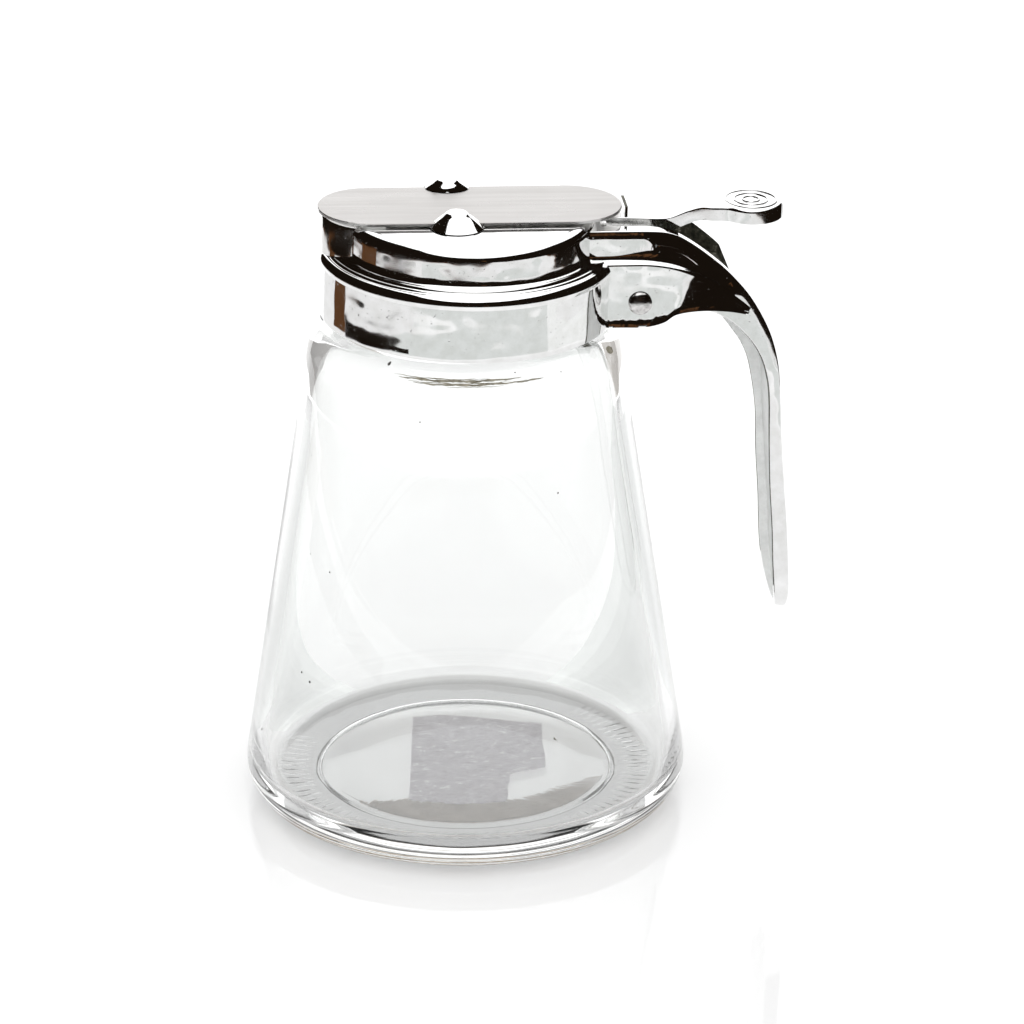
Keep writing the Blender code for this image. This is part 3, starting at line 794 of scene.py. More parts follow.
def pad_ring(radius):
    """Fine raised ring on the pad, with a rounded crest."""
    section = [(-1.0, -1.0), (1.0, -1.0), (0.9, 0.2), (0.5, 0.8), (0.0, 1.0), (-0.5, 0.8),
               (-0.9, 0.2)]
    rings = []
    for i in range(PAD_RING_STEPS):
        angle = 2 * math.pi * i / PAD_RING_STEPS
        ring = []
        for across, up in section:
            r = radius + PAD_RING_HALF_WIDTH * across
            ring.append((PAD_X + r * math.cos(angle), r * math.sin(angle),
                         PAD_TOP_Z + PAD_RING_RISE * up))
        rings.append(ring)
    return loft("ring", rings, closed=True)


def make_lever(mat, grime_and_shade):
    """Pressed lever with side skirts, a round thumb pad and an upturned tail tab."""
    sections = lever_sections()
    outer = []
    end_x = sections[-1][0]
    for x, half, z in sections:
        rounded = 0.3 + 0.7 * smooth_step(*LEVER_ROUND_START, x)
        radius = min(LEVER_EDGE * rounded, half * 0.6)
        past = max(0.0, radius - (end_x - x))
        z -= radius - math.sqrt(radius ** 2 - past ** 2)
        side = arc((half - radius, z - radius), radius, 0, 90, 7)
        bottom = z - LEVER_SKIRT
        outer.append([(x, -half, bottom)] + [(x, -y, rise) for y, rise in side]
                     + [(x, y, rise) for y, rise in side[::-1]] + [(x, half, bottom)])
    lever = loft("lever", outer)
    combine(lever, lever_room(sections), "DIFFERENCE")
    tab_x = PLATE_RIGHT_X + GAP
    tab_end_x = tab_x + TAB_THICKNESS
    tab = prism("tab", oblong(tab_x, tab_end_x, -TAB_HALF_WIDTH, TAB_HALF_WIDTH),
                TAB_BOTTOM_Z, PLATE_TOP_Z + TAB_RISE)
    bevel(tab, TAB_BEVEL, segments=2)
    combine(lever, tab, "UNION")
    for radius in PAD_RING_RADII:
        combine(lever, pad_ring(radius), "UNION")
    lever = seat_piece(lever, "lever_pressing", mat, "shutter", "thumb_lever")
    lever.data.materials.append(grime_and_shade)
    # Painted shade: the tail tab's top, above the plate, takes the same near-black colour
    level = SEAT.inverted()
    for face in lever.data.polygons:
        x, _, z = level @ face.center
        if z > PLATE_TOP_Z + 0.00005 and x < tab_end_x + 0.0002:
            face.material_index = GRIME_AND_SHADE_SLOT


# Materials


def set_inputs(tree, node, inputs):
    """Set a node's inputs to numbers and colours, or link them to other nodes' outputs."""
    for name, value in inputs.items():
        if isinstance(value, bpy.types.NodeSocket):
            tree.links.new(value, node.inputs[name])
        else:
            node.inputs[name].default_value = value


def new_node(tree, kind, inputs):
    node = tree.nodes.new(kind)
    set_inputs(tree, node, inputs)
    return node


def new_material(name):
    mat = bpy.data.materials.new(name)
    mat.use_nodes = True
    return mat, mat.node_tree, mat.node_tree.nodes["Principled BSDF"]


def noise(tree, scale, detail=3.0, roughness=0.55, stretch=None):
    """Noise in the frame's own coordinates, which never move with the camera."""
    place = tree.nodes.new("ShaderNodeTexCoord").outputs["Object"]
    if stretch:
        mapping = new_node(tree, "ShaderNodeMapping", {"Vector": place, "Scale": stretch})
        place = mapping.outputs["Vector"]
    texture = new_node(tree, "ShaderNodeTexNoise", {
        "Vector": place, "Scale": scale, "Detail": detail, "Roughness": roughness})
    return texture.outputs["Fac"]


def ramp(tree, value, stops):
    """Colour ramp with (position, colour) stops."""
    node = new_node(tree, "ShaderNodeValToRGB", {"Fac": value})
    elements = node.color_ramp.elements
    for element, (position, colour) in zip(elements, stops):
        element.position = position
        element.color = (*colour, 1.0)
    for position, colour in stops[2:]:
        element = elements.new(position)
        element.color = (*colour, 1.0)
    return node.outputs["Color"]


def to_range(tree, value, low, high, to_low, to_high):
    node = new_node(tree, "ShaderNodeMapRange", {
        "Value": value, "From Min": low, "From Max": high, "To Min": to_low, "To Max": to_high})
    return node.outputs["Result"]


def bump(tree, height, distance, normal=None):
    inputs = {"Height": height, "Strength": 1.0, "Distance": distance}
    if normal:
        inputs["Normal"] = normal
    return new_node(tree, "ShaderNodeBump", inputs).outputs["Normal"]


def grained_material(name, grain, stops, gloss, relief, metallic=0.0):
    """Material whose colour and relief follow one noise, and its gloss too where that is a pair."""
    mat, tree, shader = new_material(name)
    texture = noise(tree, **grain)
    if isinstance(gloss, tuple):
        gloss = to_range(tree, texture, 0.3, 0.7, *gloss)
    set_inputs(tree, shader, {
        "Metallic": metallic,
        "Base Color": ramp(tree, texture, stops),
        "Roughness": gloss,
        "Normal": bump(tree, texture, relief),
    })
    return mat


def chrome_material():
    """Plated die casting: a mirror with slow ripples, fine pits and smudges."""
    mat, tree, shader = new_material("chrome_plate")
    grime = noise(tree, 420.0, detail=5.0)
    smudge = noise(tree, 130.0, detail=4.0)
    waves = bump(tree, noise(tree, 75.0, detail=2.0), 0.00018)
    pits = to_range(tree, noise(tree, 1500.0, detail=2.0), 0.70, 0.80, 0.0, -1.0)
    set_inputs(tree, shader, {
        "Metallic": 1.0,
        "Base Color": ramp(tree, grime, [(0.30, (0.80, 0.80, 0.79)), (0.62, (0.88, 0.88, 0.88))]),
        "Roughness": to_range(tree, smudge, 0.35, 0.70, 0.025, 0.075),
        "Normal": bump(tree, pits, 0.000012, waves),
    })
    return mat


def trough_grime_and_shade_material():
    """Near-black floor and walls of the trough: painted shade and dark reflection under the lever, with
    some grime where the polishing wheel missed.
    """
    stops = [(0.38, (0.020, 0.020, 0.012)), (0.56, (0.085, 0.082, 0.055)), (0.70, (0.42, 0.40, 0.33))]
    grain = {"scale": 650.0, "detail": 6.0, "roughness": 0.75}
    return grained_material("trough_grime_and_shade", grain, stops, 0.55, 0.00008, metallic=0.3)


def inner_casting_material():
    """Plated but unpolished hollow side of the grip."""
    stops = [(0.35, (0.86, 0.87, 0.86)), (0.65, (0.98, 0.99, 0.98))]
    grain = {"scale": 480.0, "detail": 5.0, "roughness": 0.7}
    return grained_material("inner_casting", grain, stops, 0.45, 0.00004, metallic=0.05)


def rivet_material():
    """Dull pin head: worn, finely scratched metal."""
    stops = [(0.34, (0.42, 0.41, 0.405)), (0.62, (0.78, 0.77, 0.76))]
    grain = {"scale": 900.0, "detail": 4.0, "roughness": 0.7}
    return grained_material("dull_pin", grain, stops, (0.08, 0.20), 0.00002, metallic=1.0)


def paper_material():
    """Dirty back of a torn paper label, rubbed to streaks."""
    stops = [(0.34, (0.44, 0.39, 0.44)), (0.50, (0.63, 0.585, 0.64)),
             (0.575, (0.67, 0.625, 0.68)), (0.61, (1.0, 0.99, 1.0))]
    grain = {"scale": 560.0, "detail": 8.0, "roughness": 0.8, "stretch": (0.8, 1.3, 1.0)}
    return grained_material("worn_label", grain, stops, 0.85, 0.00004)


def dirt_and_painted_shade_material(name, dark, light, scale):
    """Dull, cloudy and a little uneven colour, for dried dirt and for painted shade and reflections."""
    grain = {"scale": scale, "detail": 5.0, "roughness": 0.65}
    return grained_material(name, grain, [(0.32, dark), (0.68, light)], 0.6, 0.00003)


def steel_material():
    """Rolled sheet steel with a soft grain along its length, and a painted highlight: faces that do not
    face up, the cut edges, are coloured near-white.
    """
    mat, tree, shader = new_material("satin_sheet")
    grain = noise(tree, 260.0, detail=4.0, stretch=(0.12, 2.6, 1.0))
    # Painted highlight: the colour goes near-white where a face turns away from up
    facing = tree.nodes.new("ShaderNodeNewGeometry").outputs["Normal"]
    upward = new_node(tree, "ShaderNodeSeparateXYZ", {"Vector": facing}).outputs["Z"]
    mix = tree.nodes.new("ShaderNodeMix")
    mix.data_type = "RGBA"
    share, edge_highlight_colour, face_colour = mix.inputs[0], mix.inputs[6], mix.inputs[7]
    tree.links.new(to_range(tree, upward, 0.3, 0.7, 0.0, 1.0), share)
    edge_highlight_colour.default_value = (0.96, 0.95, 0.94, 1.0)
    tint = ramp(tree, grain, [(0.30, (0.395, 0.382, 0.372)), (0.70, (0.455, 0.442, 0.432))])
    tree.links.new(tint, face_colour)
    cloud = noise(tree, 90.0, detail=3.0)
    set_inputs(tree, shader, {
        "Metallic": 1.0,
        "Base Color": mix.outputs[2],
        "Roughness": to_range(tree, cloud, 0.3, 0.7, 0.24, 0.34),
        "Normal": bump(tree, grain, 0.000015),
    })
    return mat


def glass_material():
    """Clear pressed glass, a little wavy, with faint smears."""
    mat, tree, shader = new_material("pressed_glass")
    smear = noise(tree, 60.0, detail=5.0)
    wave = noise(tree, 55.0, detail=1.5, stretch=(1.0, 1.0, 0.35))
    set_inputs(tree, shader, {
        "Base Color": (0.968, 0.974, 0.971, 1.0),
        "Transmission Weight": 1.0,
        "IOR": 1.5,
        "Roughness": to_range(tree, smear, 0.55, 0.80, 0.0, 0.02),
        "Normal": bump(tree, wave, 0.00005),
    })
    return mat


def emission_material(name, colour):
    mat = bpy.data.materials.new(name)
    mat.use_nodes = True
    tree = mat.node_tree
    tree.nodes.clear()
    light = new_node(tree, "ShaderNodeEmission", {"Color": (*colour, 1.0), "Strength": 1.0})
    new_node(tree, "ShaderNodeOutputMaterial", {"Surface": light.outputs["Emission"]})
    return mat


# Studio


def around(radius, azimuth_deg, z):
    """Point round the jar's axis; azimuth 0 is the front, 90 the handle's side."""
    angle = math.radians(azimuth_deg)
    return (JAR_X + radius * math.sin(angle), -radius * math.cos(angle), z)


def strip(name, lower, upper, mat, through_glass=False):
    """Studio card between two lines of equally many points.

    It shows in mirror-like reflections alone, or through the glass alone."""
    count = len(lower)
    faces = [(i, i + 1, count + i + 1, count + i) for i in range(count - 1)]
    card = new_mesh_object(name, list(lower) + list(upper), faces, mat, smooth=False)
    card.visible_camera = False
    card.visible_diffuse = False
    card.visible_glossy = not through_glass
    card.visible_transmission = through_glass
    card.visible_volume_scatter = False
    card.visible_shadow = False


def level_strip(name, turns, near, far, z, mat, through_glass=False):
    """Level card over azimuths, between a near and a far radius or a list of radii for either."""
    lines = []
    for radii in (near, far):
        if isinstance(radii, float):
            radii = [radii] * len(turns)
        lines.append([around(radius, a, z) for radius, a in zip(radii, turns)])
    strip(name, lines[0], lines[1], mat, through_glass)


def azimuths(start_deg, end_deg, step_deg=3.0):
    count = max(1, round(abs(end_deg - start_deg) / step_deg))
    return [start_deg + (end_deg - start_deg) * i / count for i in range(count + 1)]


# The dark side of the studio, seen by the chrome: azimuth, top edge's elevation and
# how far out on the table it begins
ROOM_RADIUS = 0.85
ROOM_EDGE = [
    (-152.0, 30.0, 0.3570), (-135.0, 58.0, 0.3650), (-115.0, 64.0, 0.3720), (-97.0, 66.0, 0.3730),
    (-82.0, 66.0, 0.3710), (-62.0, 60.0, 0.3700), (-42.0, 48.0, 0.3720), (-20.0, 36.0, 0.3690),
    (0.0, 33.0, 0.3680), (15.0, 34.0, 0.3740), (46.0, 40.0, 0.3760), (60.0, 42.0, 0.3520),
    (72.0, 44.0, 0.3270), (84.0, 44.0, 0.3200), (100.0, 44.0, 0.3170), (122.0, 36.0, 0.3180),
    (138.0, 26.0, 0.3260),
]
BROWN_EDGE_END = 125.0
HAZE_RADIUS = ROOM_RADIUS - 0.01
HAZE_START = 6.5
HAZE_END = 11.0
HAZE_STEP = 0.09
# Outer edges of the grey patches: azimuth, radius
COLLAR_PATCH = [(-64, 0.3150), (-56, 0.3260), (-40, 0.3305), (-20, 0.3275), (0, 0.3205),
                (25, 0.3090), (50, 0.2990), (80, 0.2920), (98, 0.2880), (106, 0.2760)]
DRUM_PATCH = [(-46, 0.3560), (-38, 0.3640), (-25, 0.3580), (-8, 0.3490), (10, 0.3425),
              (30, 0.3360), (50, 0.3290), (58, 0.3270), (64, 0.3130)]
CAP_MIDDLE_Z = 0.120
# Heights of the level cards, of which a higher one hides a lower one
BROWN_EDGE_Z = 0.0015
ROOM_Z = 0.0020
PATCH_Z = 0.0025
DARK_PATCH_Z = 0.0030
DARK_RING_Z = 0.0032
STRIPE_Z = 0.0036
GLASS_CARD_Z = 0.0010


def make_room(dark, brown):
    """Dark floor and walls beyond the white table, with a brown edge and a brown haze."""
    room = smooth_line(ROOM_EDGE, 8)
    foot = []
    for i, (a, _, start) in enumerate(room):
        wobble = (0.0014 * math.sin(a * 0.21) + 0.0010 * math.sin(a * 0.67)
                  + 0.0007 * math.sin(i * 2.1))
        foot.append(around(start + wobble, a, ROOM_Z))
    crest = []
    for a, elevation, _ in room:
        z = CAP_MIDDLE_Z + ROOM_RADIUS * math.tan(math.radians(elevation))
        crest.append(around(ROOM_RADIUS, a, z))
    corner = [around(ROOM_RADIUS, a, ROOM_Z) for a, _, _ in room]
    strip("room_floor", foot, corner, dark)
    strip("room_wall", corner, crest, dark)
    edge = [(a, start) for a, _, start in room if a < BROWN_EDGE_END]
    level_strip("brown_edge", [a for a, _ in edge],
                [start - 0.0018 - 0.0012 * math.sin(a * 0.31) for a, start in edge],
                [start + 0.0040 for _, start in edge], BROWN_EDGE_Z, brown)
    low = []
    high = []
    for a in azimuths(HAZE_START, HAZE_END, HAZE_STEP):
        low.append(around(HAZE_RADIUS, a, 0.05 + 0.03 * math.sin(a * 4.0)))
        top = 0.13 + 0.06 * math.sin(a * 5.0) + 0.05 * math.sin(a * 13.0)
        high.append(around(HAZE_RADIUS, a, top))
    strip("brown_haze", low, high, brown)


def make_cards():
    """Cards that the cap's collar, ledge and drum reflect."""
    dark = emission_material("card_dark", (0.009, 0.006, 0.004))
    brown = emission_material("card_brown", (0.105, 0.047, 0.020))
    grey = emission_material("card_grey", (0.77, 0.795, 0.78))
    pale = emission_material("card_pale", (0.98, 0.99, 0.98))
    make_room(dark, brown)
    turns = azimuths(-118.0, -52.0)
    level_strip("dark_ring", turns, [0.3425 + 0.000006 * (a + 88.0) ** 2 for a in turns],
                [0.3575 - 0.000005 * (a + 88.0) ** 2 for a in turns], DARK_RING_Z, dark)
    turns = azimuths(-111.0, -50.0)
    patch = [0.3215 - 0.0004 * abs(a + 97.0) + 0.0014 * math.sin(a * 0.4) for a in turns]
    level_strip("dark_patch", turns, 0.262, patch, DARK_PATCH_Z, dark)
    rim = [r + 0.0022 + 0.001 * math.sin(a * 0.9) for a, r in zip(turns, patch)]
    level_strip("brown_patch", turns, [r - 0.002 for r in patch], rim, PATCH_Z, brown)
    for name, start, end, near, far in (("collar", -127.0, -111.0, 0.285, 0.341),
                                        ("drum", -114.0, -94.0, 0.346, 0.376)):
        turns = azimuths(start, end, 1.0)
        strip("brown_stripe_" + name,
              [around(near, a + 0.8 * math.sin(a * 1.7), STRIPE_Z) for a in turns],
              [around(far, a, STRIPE_Z) for a in turns], brown)
    for name, start, end, mat in (("", -64.0, 57.0, grey), ("_right", 57.0, 106.0, pale)):
        turns = azimuths(start, end)
        rim = [read_curve(COLLAR_PATCH, a) + wander(a * 0.1, 3.0) * 0.0014 for a in turns]
        level_strip("grey_patch" + name, turns, 0.255, rim, PATCH_Z, mat)
    turns = azimuths(-46.0, 64.0)
    rim = [read_curve(DRUM_PATCH, a) + wander(a * 0.12, 8.0) * 0.0012 for a in turns]
    level_strip("grey_patch_far", turns, [0.330 - 0.0004 * a for a in turns], rim, PATCH_Z, grey)


GLASS_WALL_RADIUS = 1.2
GLASS_WALL_HEIGHT = 0.50
EDGE_SHADES = 9
EDGE_DARKENING = 0.20
EDGE_NEAR = 0.045
EDGE_FAR = 0.34


def make_glass_cards():
    """What the thick heel and the edges of the glass bend into view."""
    dusk = emission_material("card_dusk", (0.46, 0.45, 0.44))
    taupe = emission_material("card_taupe", (0.66, 0.63, 0.60))
    for name, start, end, mat in (("glass_wall_left", -178.0, -70.0, dusk),
                                  ("glass_wall_back", 130.0, 182.0, taupe)):
        turns = azimuths(start, end)
        strip(name, [around(GLASS_WALL_RADIUS, a, GLASS_CARD_Z) for a in turns],
              [around(GLASS_WALL_RADIUS, a, GLASS_WALL_HEIGHT) for a in turns], mat, through_glass=True)
    for side, start, end in (("left", -152.0, -118.0), ("right", 150.0, 118.0)):
        for i in range(EDGE_SHADES):
            shade = 1.02 - EDGE_DARKENING * math.sin(math.pi * (i + 0.5) / EDGE_SHADES)
            colour = (shade * 0.985, shade, shade * 0.99)
            mat = emission_material("card_edge_%s_%d" % (side, i), colour)
            low = start + (end - start) * i / EDGE_SHADES
            high = start + (end - start) * (i + 1) / EDGE_SHADES
            level_strip("glass_edge_%s_%d" % (side, i), azimuths(low, high), EDGE_NEAR, EDGE_FAR,
                        GLASS_CARD_Z, mat, through_glass=True)


TABLE_RADIUS = 3.0
TABLE_GREY = 0.49
TABLE_GLOW = 0.28
SKY_STRENGTH = 1.6
MOST_BOUNCES = 24


def make_floor():
    mat, tree, shader = new_material("white_table")
    set_inputs(tree, shader, {
        "Base Color": (TABLE_GREY, TABLE_GREY, TABLE_GREY, 1.0),
        "Roughness": 0.04,
        "IOR": 1.5,
        "Emission Color": (1.0, 1.0, 1.0, 1.0),
        "Emission Strength": TABLE_GLOW,
    })
    rim = [around(TABLE_RADIUS, a, 0.0) for a in azimuths(-180.0, 174.0, 6.0)]
    floor = new_mesh_object("table_top", rim, [tuple(range(len(rim)))], mat, smooth=False)


def make_world():
    world = bpy.data.worlds.new("white_studio")
    world.use_nodes = True
    sky = world.node_tree.nodes["Background"]
    sky.inputs["Color"].default_value = (1.0, 1.0, 1.0, 1.0)
    sky.inputs["Strength"].default_value = SKY_STRENGTH
    bpy.context.scene.world = world
    scene = bpy.context.scene
    scene.view_settings.view_transform = "Standard"
    scene.cycles.max_bounces = MOST_BOUNCES
    scene.cycles.glossy_bounces = 16
    scene.cycles.transmission_bounces = MOST_BOUNCES
    scene.cycles.caustics_refractive = True
    scene.cycles.caustics_reflective = True


def make_camera():
    data = bpy.data.cameras.new("photo_camera")
    data.lens = LENS
    data.sensor_width = SENSOR
    data.clip_start = 0.05
    data.clip_end = 20.0
    camera = new_object("photo_camera", data)
    back = CAMERA_RIGHT.cross(CAMERA_UP).normalized()
    turn = Matrix((CAMERA_RIGHT, CAMERA_UP, back)).transposed()
    place = CAMERA_FROM_JAR + Vector((JAR_X, 0.0, 0.0))
    camera.matrix_world = Matrix.Translation(place) @ turn.to_4x4()
    bpy.context.scene.camera = camera


# Pieces


def jar_outside():
    """Outline of the jar's outer side, from the foot to the neck."""
    heel = arc((HEEL_RADIUS - HEEL_ROUNDING, HEEL_ROUNDING), HEEL_ROUNDING, -90, 8.7, 20)
    shoulder = smooth_line([
        (SHOULDER_RADIUS, SHOULDER_Z),
        (SHOULDER_RADIUS - 0.0005, SHOULDER_Z + 0.0027),
        (SHOULDER_RADIUS - 0.0013, SHOULDER_Z + 0.0050),
        (SHOULDER_RADIUS - 0.0025, SHOULDER_Z + 0.0068),
        (SHOULDER_RADIUS - 0.0038, SHOULDER_TOP_Z),
        (NECK_RADIUS, SHOULDER_TOP_Z + 0.0004)], 3)
    return heel + between(heel[-1], shoulder[0], 12) + shoulder


def outer_radius(z):
    """Jar's outside radius at a height."""
    return read_curve([(height, radius) for radius, height in jar_outside()], z)


def jar_profile():
    """Closed outline of the jar's wall from the axis below to the axis above."""
    lip = arc((NECK_RADIUS - LIP_ROUNDING, JAR_HEIGHT - LIP_ROUNDING), LIP_ROUNDING, 0, 180, 12)
    lip = [(max(radius, NECK_BORE), z) for radius, z in lip]
    bore = smooth_line([
        (NECK_BORE, SHOULDER_TOP_Z + 0.0020),
        (NECK_BORE + 0.0008, SHOULDER_TOP_Z - 0.0010),
        (NECK_BORE + 0.0026, SHOULDER_TOP_Z - 0.0040),
        (NECK_BORE + 0.0044, SHOULDER_Z - 0.0010),
        (SHOULDER_RADIUS - WALL_HIGH + 0.0010, SHOULDER_Z - 0.0090)], 3)
    inner_heel = (HEEL_RADIUS - WALL_LOW - 0.0004, FLOOR_Z + INNER_HEEL_RISE)
    floor_round = []
    for out, up in arc((0.0, 0.0), 1.0, 0, 90, 14)[1:]:
        floor_round.append((FLOOR_FLAT_RADIUS + (inner_heel[0] - FLOOR_FLAT_RADIUS) * out,
                            FLOOR_Z + INNER_HEEL_RISE * (1 - up)))
    punt = [(0.0, PUNT_DEPTH), (PUNT_RADIUS * 0.5, PUNT_DEPTH), (PUNT_RADIUS - 0.0006, PUNT_DEPTH),
            (PUNT_RADIUS - 0.0002, PUNT_DEPTH - 0.00004), (PUNT_RADIUS, PUNT_DEPTH - 0.0002),
            (PUNT_RADIUS + 0.0004, 0.0002), (PUNT_RADIUS + 0.0006, 0.00004),
            (PUNT_RADIUS + 0.0010, 0.0)]
    bearing = [(TICK_INNER_RADIUS + 0.0002 * i, 0.0) for i in range(0, 28, 3)]
    floor = [(FLOOR_FLAT_RADIUS - 0.0006, FLOOR_Z), (FLOOR_FLAT_RADIUS * 0.5, FLOOR_Z), (0.0, FLOOR_Z)]
    return (punt + bearing + jar_outside() + lip + bore + between(bore[-1], inner_heel, 12)
            + [inner_heel] + floor_round + floor)


def tick_height(angle, radius, ticks):
    """How far the underside is raised in a moulded mark at this place."""
    position = angle / (2 * math.pi) * TICK_COUNT
    shift, width, inner, outer = ticks[int(position) % TICK_COUNT]
    azimuth = (math.degrees(angle) + 180.0) % 360.0 - 180.0
    worn = smooth_step(TICK_WORN_FROM, TICK_WORN_TO, abs(azimuth - TICK_MIDDLE_AZIMUTH))
    across = abs(position - int(position) - 0.5 - shift) / width
    if across >= 1.0 or radius <= inner or radius >= outer:
        return 0.0
    along = min(radius - inner, outer - radius) / TICK_END_SLOPE
    return TICK_DEPTH * (1.0 - worn) * (1.0 - across) * clamp(along)


def make_jar(mat):
    random.seed(7)
    ticks = []
    for _ in range(TICK_COUNT):
        ticks.append((random.uniform(-0.12, 0.12), random.uniform(0.10, 0.16),
                      TICK_INNER_RADIUS + random.uniform(0.0, 0.0010),
                      TICK_OUTER_RADIUS - random.uniform(0.0, 0.0014)))
    profile = jar_profile()
    steps = TICK_COUNT * STEPS_PER_TICK
    vertices = [(JAR_X, 0.0, profile[0][1])]
    for radius, z in profile[1:-1]:
        for i in range(steps):
            angle = 2 * math.pi * (i + 0.5) / steps
            lift = tick_height(angle, radius, ticks) if z < UNDERSIDE_Z else 0.0
            vertices.append((JAR_X + radius * math.sin(angle), -radius * math.cos(angle), z + lift))
    vertices.append((JAR_X, 0.0, profile[-1][1]))
    jar = new_mesh_object("jar_glass", vertices, turned_faces(len(profile) - 2, steps), mat)
    jar.data.set_sharp_from_angle(angle=math.radians(GLASS_SHARP_DEG))
    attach(jar, BODY)
    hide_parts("jar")


def film(stations):
    """Thin closed ribbon round the jar; a station is an azimuth and two (radius, z) edges."""
    rings = []
    for azimuth, low, high in stations:
        across = (Vector(high) - Vector(low)).normalized() * FILM_THICKNESS
        corners = [low, high, (high[0] + across.y, high[1] - across.x),
                   (low[0] + across.y, low[1] - across.x)]
        rings.append([around(radius, azimuth, z) for radius, z in corners])
    return loft("film", rings)


def film_on_glass(stations):
    """Ribbon on the jar's outside; a station is an azimuth, a height and a half width."""
    edges = []
    for azimuth, z, half in stations:
        low = z - max(half, FILM_LIFT)
        high = z + max(half, FILM_LIFT)
        edges.append((azimuth, (outer_radius(low) + FILM_LIFT, low),
                      (outer_radius(high) + FILM_LIFT, high)))
    return film(edges)


def stroke(path, z):
    """Thin flat mark through (radius, azimuth, half width) points."""
    places = [Vector(around(radius, azimuth, z)) for radius, azimuth, _ in path]
    drop = Vector((0.0, 0.0, -FILM_THICKNESS))
    rings = []
    for i, place in enumerate(places):
        along = (places[min(i + 1, len(places) - 1)] - places[max(i - 1, 0)]).normalized()
        aside = Vector((along.y, -along.x, 0.0)) * path[i][2]
        rings.append([tuple(corner) for corner in (place + aside, place - aside,
                                                   place - aside + drop, place + aside + drop)])
    return loft("mark", rings)


def gather(name, parts, mat):
    """One piece of many small closed solids, riding on the dispenser."""
    bm = bmesh.new()
    for part in parts:
        bm.from_mesh(part.data)
        bpy.data.objects.remove(part)
    mesh = bpy.data.meshes.new(name)
    bm.to_mesh(mesh)
    bm.free()
    mesh.materials.append(mat)
    piece = new_object(name, mesh)
    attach(piece, BODY)


def punt_grime():
    """Dirt in the recess's corner: thick at the two sides and two fine lines in front."""
    z = PUNT_DEPTH - 0.00008
    outer = []
    for a in azimuths(-152.0, 150.0, 1.5):
        side = max(smooth_step(44.0, 12.0, abs(a + 84.0)), smooth_step(38.0, 10.0, abs(a - 86.0)))
        half = 0.00006 + side * (0.00024 + 0.00012 * wander(a * 0.4, 1.0))
        outer.append((PUNT_RADIUS + 0.0010 - 0.0005 * side, a, max(half, 0.00003)))
    inner = []
    for a in azimuths(-66.0, 72.0, 1.5):
        half = 0.00006 + 0.00006 * wander(a * 0.5, 2.0)
        inner.append((PUNT_RADIUS - 0.0013 + 0.00022 * wander(a * 0.12, 4.0), a, max(half, 0.00001)))
    return [stroke(outer, FILM_THICKNESS * 2), stroke(inner, z)]


def tick_marks():
    """Dirt in the moulded grip marks, none of it at the back."""
    marks = []
    for index in range(TICK_COUNT):
        azimuth = 360.0 * (index + 0.5) / TICK_COUNT - 180.0 + random.uniform(-0.5, 0.5)
        length = random.uniform(0.55, 1.0)
        half = random.uniform(0.00009, 0.00018)
        bend = random.uniform(-0.8, 0.8)
        skipped = random.random() < MARK_MISSING_SHARE
        if skipped or abs(azimuth - TICK_MIDDLE_AZIMUTH) > MARK_REACH_DEG:
            continue
        front = smooth_step(60.0, 25.0, abs(azimuth))
        half *= 1.0 - 0.35 * front
        slant = -3.0 * front * (1.0 if azimuth < 12.0 else -1.0)
        reach = (MARK_OUTER_RADIUS - MARK_INNER_RADIUS) * length
        start = MARK_INNER_RADIUS + random.uniform(0.0, 0.0008)
        path = []
        for share in (0.0, 0.2, 0.4, 0.6, 0.8, 1.0):
            width = max(half * math.sin(math.pi * (0.12 + 0.76 * share)), 0.00001)
            turn = slant * share + bend * share * (1.0 - share)
            path.append((start + reach * share, azimuth + turn, width))
        marks.append(stroke(path, MARK_Z))
    return marks


def glue_stain_and_reflection():
    """Brushed-out stain in front of the label, its inner edge a fan of fine streaks; its dark brown is
    partly glue and partly a painted reflection of the dark room.
    """
    streaks = []
    for a in azimuths(STAIN_AND_REFLECTION_EDGE[0][0], STAIN_AND_REFLECTION_EDGE[-1][0], 1.3):
        inner = read_curve(STAIN_AND_REFLECTION_EDGE, a) + random.uniform(-0.0009, 0.0009)
        outer = STAIN_AND_REFLECTION_OUTER_RADIUS - random.uniform(0.0, 0.0004)
        sparse = smooth_step(48.0, 70.0, a)
        half = 0.00034 * (1.0 - 0.62 * sparse)
        path = []
        for share in (0.0, 0.12, 0.3, 0.6, 1.0):
            path.append((inner + (outer - inner) * share, a - 2.0 * (1.0 - share),
                         half * smooth_step(-0.15, 0.3, share)))
        streaks.append(stroke(path, STAIN_AND_REFLECTION_Z + random.uniform(-0.00005, 0.00005)))
    return streaks


def heel_reflection_lines():
    """Fine brown lines round the foot's rounding, in front: painted reflections from inside the heel.
    """
    lines = []
    for turn, start, end, half in HEEL_REFLECTION_LINES:
        stations = []
        z = HEEL_ROUNDING * (1.0 - math.sin(math.radians(turn)))
        for a in azimuths(start, end, 2.0):
            edge = min(smooth_step(start, start + 18.0, a), smooth_step(end, end - 18.0, a))
            width = half * edge * (0.8 + 0.5 * wander(a * 0.3, turn))
            stations.append((a, z + 0.00005 * wander(a * 0.11, turn), width))
        lines.append(film_on_glass(stations))
    return lines


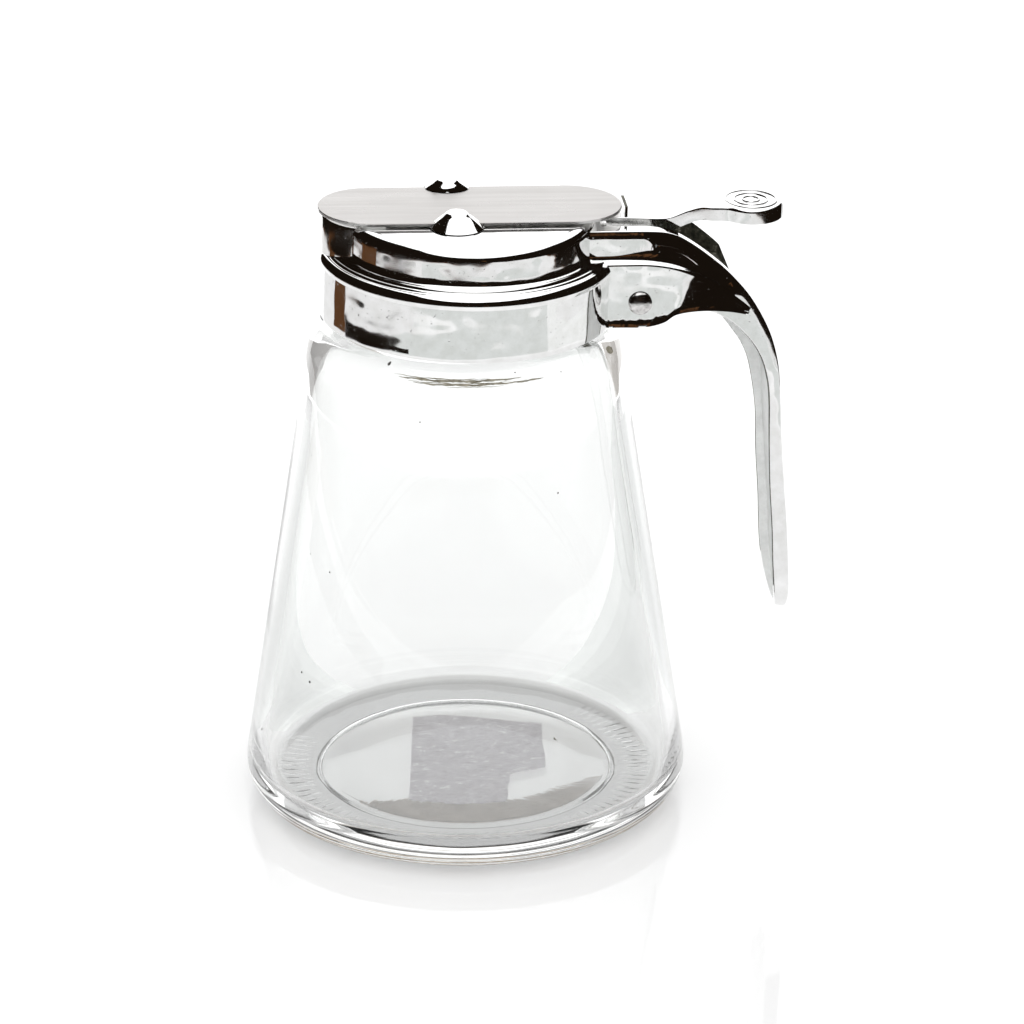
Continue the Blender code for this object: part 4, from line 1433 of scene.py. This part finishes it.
def shoulder_shade_and_blot():
    """Along the shoulder: long dark streaks side by side, painted shade for the lines that the
    shoulder's curve refracts, and one small blot of dried syrup.
    """
    streaks = []
    for height, start, end, half in SHOULDER_SHADE_STREAKS:
        stations = []
        for a in azimuths(start, end, 1.0):
            share = (a - start) / (end - start)
            width = half * math.sin(math.pi * clamp(share, 0.01, 0.99)) ** 0.5
            stations.append((a, height + 0.00010 * wander(a * 0.5, height * 9000),
                             width * (0.85 + 0.35 * wander(a * 1.1, height * 5000))))
        streaks.append(film_on_glass(stations))
    blot = []
    for k in (-2, -1, 0, 1, 2):
        width = 0.00030 + 0.00055 * (1.0 - abs(k) / 3.0)
        blot.append((BLOT_AZIMUTH + 1.3 * k, BLOT_Z - 0.0002 * k, width))
    streaks.append(film_on_glass(blot))
    return streaks


def speck(azimuth, z, half):
    """Small uneven dot on the outside of the glass."""
    turn = math.degrees(half / outer_radius(z))
    stations = []
    for k in (-2, -1, 0, 1, 2):
        height = half * math.sqrt(1.0 - (k / 2.2) ** 2) * random.uniform(0.7, 1.1)
        stations.append((azimuth + turn * k / 2, z + random.uniform(-0.1, 0.1) * half, height))
    return film_on_glass(stations)


# Real residue on the glass, and the painted shade and reflections drawn as films
def make_residue_and_painted_films():
    random.seed(11)
    grime = dirt_and_painted_shade_material("dark_grime", (0.045, 0.042, 0.038), (0.13, 0.12, 0.11), 900.0)
    # Partly glue, partly a painted reflection of the dark room
    stain_and_reflection_mat = dirt_and_painted_shade_material("brown_glue_and_reflection", (0.32, 0.265, 0.225), (0.50, 0.435, 0.39), 220.0)
    # This colour serves the shoulder's painted shade streaks, the blot and the crumb
    dried_and_shade = dirt_and_painted_shade_material("dried_film_and_painted_shade", (0.075, 0.065, 0.040), (0.30, 0.275, 0.215), 700.0)
    # Painted reflection colour for the lines round the heel
    heel_reflection_mat = dirt_and_painted_shade_material("heel_painted_reflection", (0.25, 0.19, 0.13), (0.55, 0.47, 0.36), 500.0)
    crumb = []
    for k in (-2, -1, 0, 1, 2):
        crumb.append((CRUMB_RADIUS + 0.00025 * k * k / 4, CRUMB_AZIMUTH + k * 0.9,
                      CRUMB_LENGTH * (0.16 - 0.03 * abs(k))))
    gather("grip_marks", tick_marks(), grime)
    gather("recess_grime", punt_grime(), grime)
    gather("glue_stain_and_reflection", glue_stain_and_reflection(), stain_and_reflection_mat)
    gather("heel_painted_reflection", heel_reflection_lines(), heel_reflection_mat)
    gather("shoulder_shade_and_blot", shoulder_shade_and_blot(), dried_and_shade)
    gather("glass_specks", [speck(*place) for place in SPECKS], grime)
    gather("crumb", [stroke(crumb, FLOOR_Z + 0.00008)], dried_and_shade)


def dress(node, mat):
    """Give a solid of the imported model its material."""
    obj = frame["nodes"][node]
    obj.data.materials.clear()
    obj.data.materials.append(mat)
    weights = obj.modifiers.new("even_shading", "WEIGHTED_NORMAL")
    weights.keep_sharp = True


def main():
    make_world()
    make_camera()
    make_floor()
    make_cards()
    make_glass_cards()
    chrome = chrome_material()
    pin = rivet_material()
    grime_and_shade = trough_grime_and_shade_material()
    make_cap(chrome, grime_and_shade, inner_casting_material())
    for name, side in (("rivet_front", -1), ("rivet_back", 1)):
        make_rivet(name, side, pin)
    for name, side in (("guide_stud_front", -1), ("guide_stud_back", 1)):
        make_stud(name, side, chrome)
    make_lever(chrome, grime_and_shade)
    dress("shutter_plate", steel_material())
    dress("base_label", paper_material())
    make_jar(glass_material())
    make_residue_and_painted_films()


main()
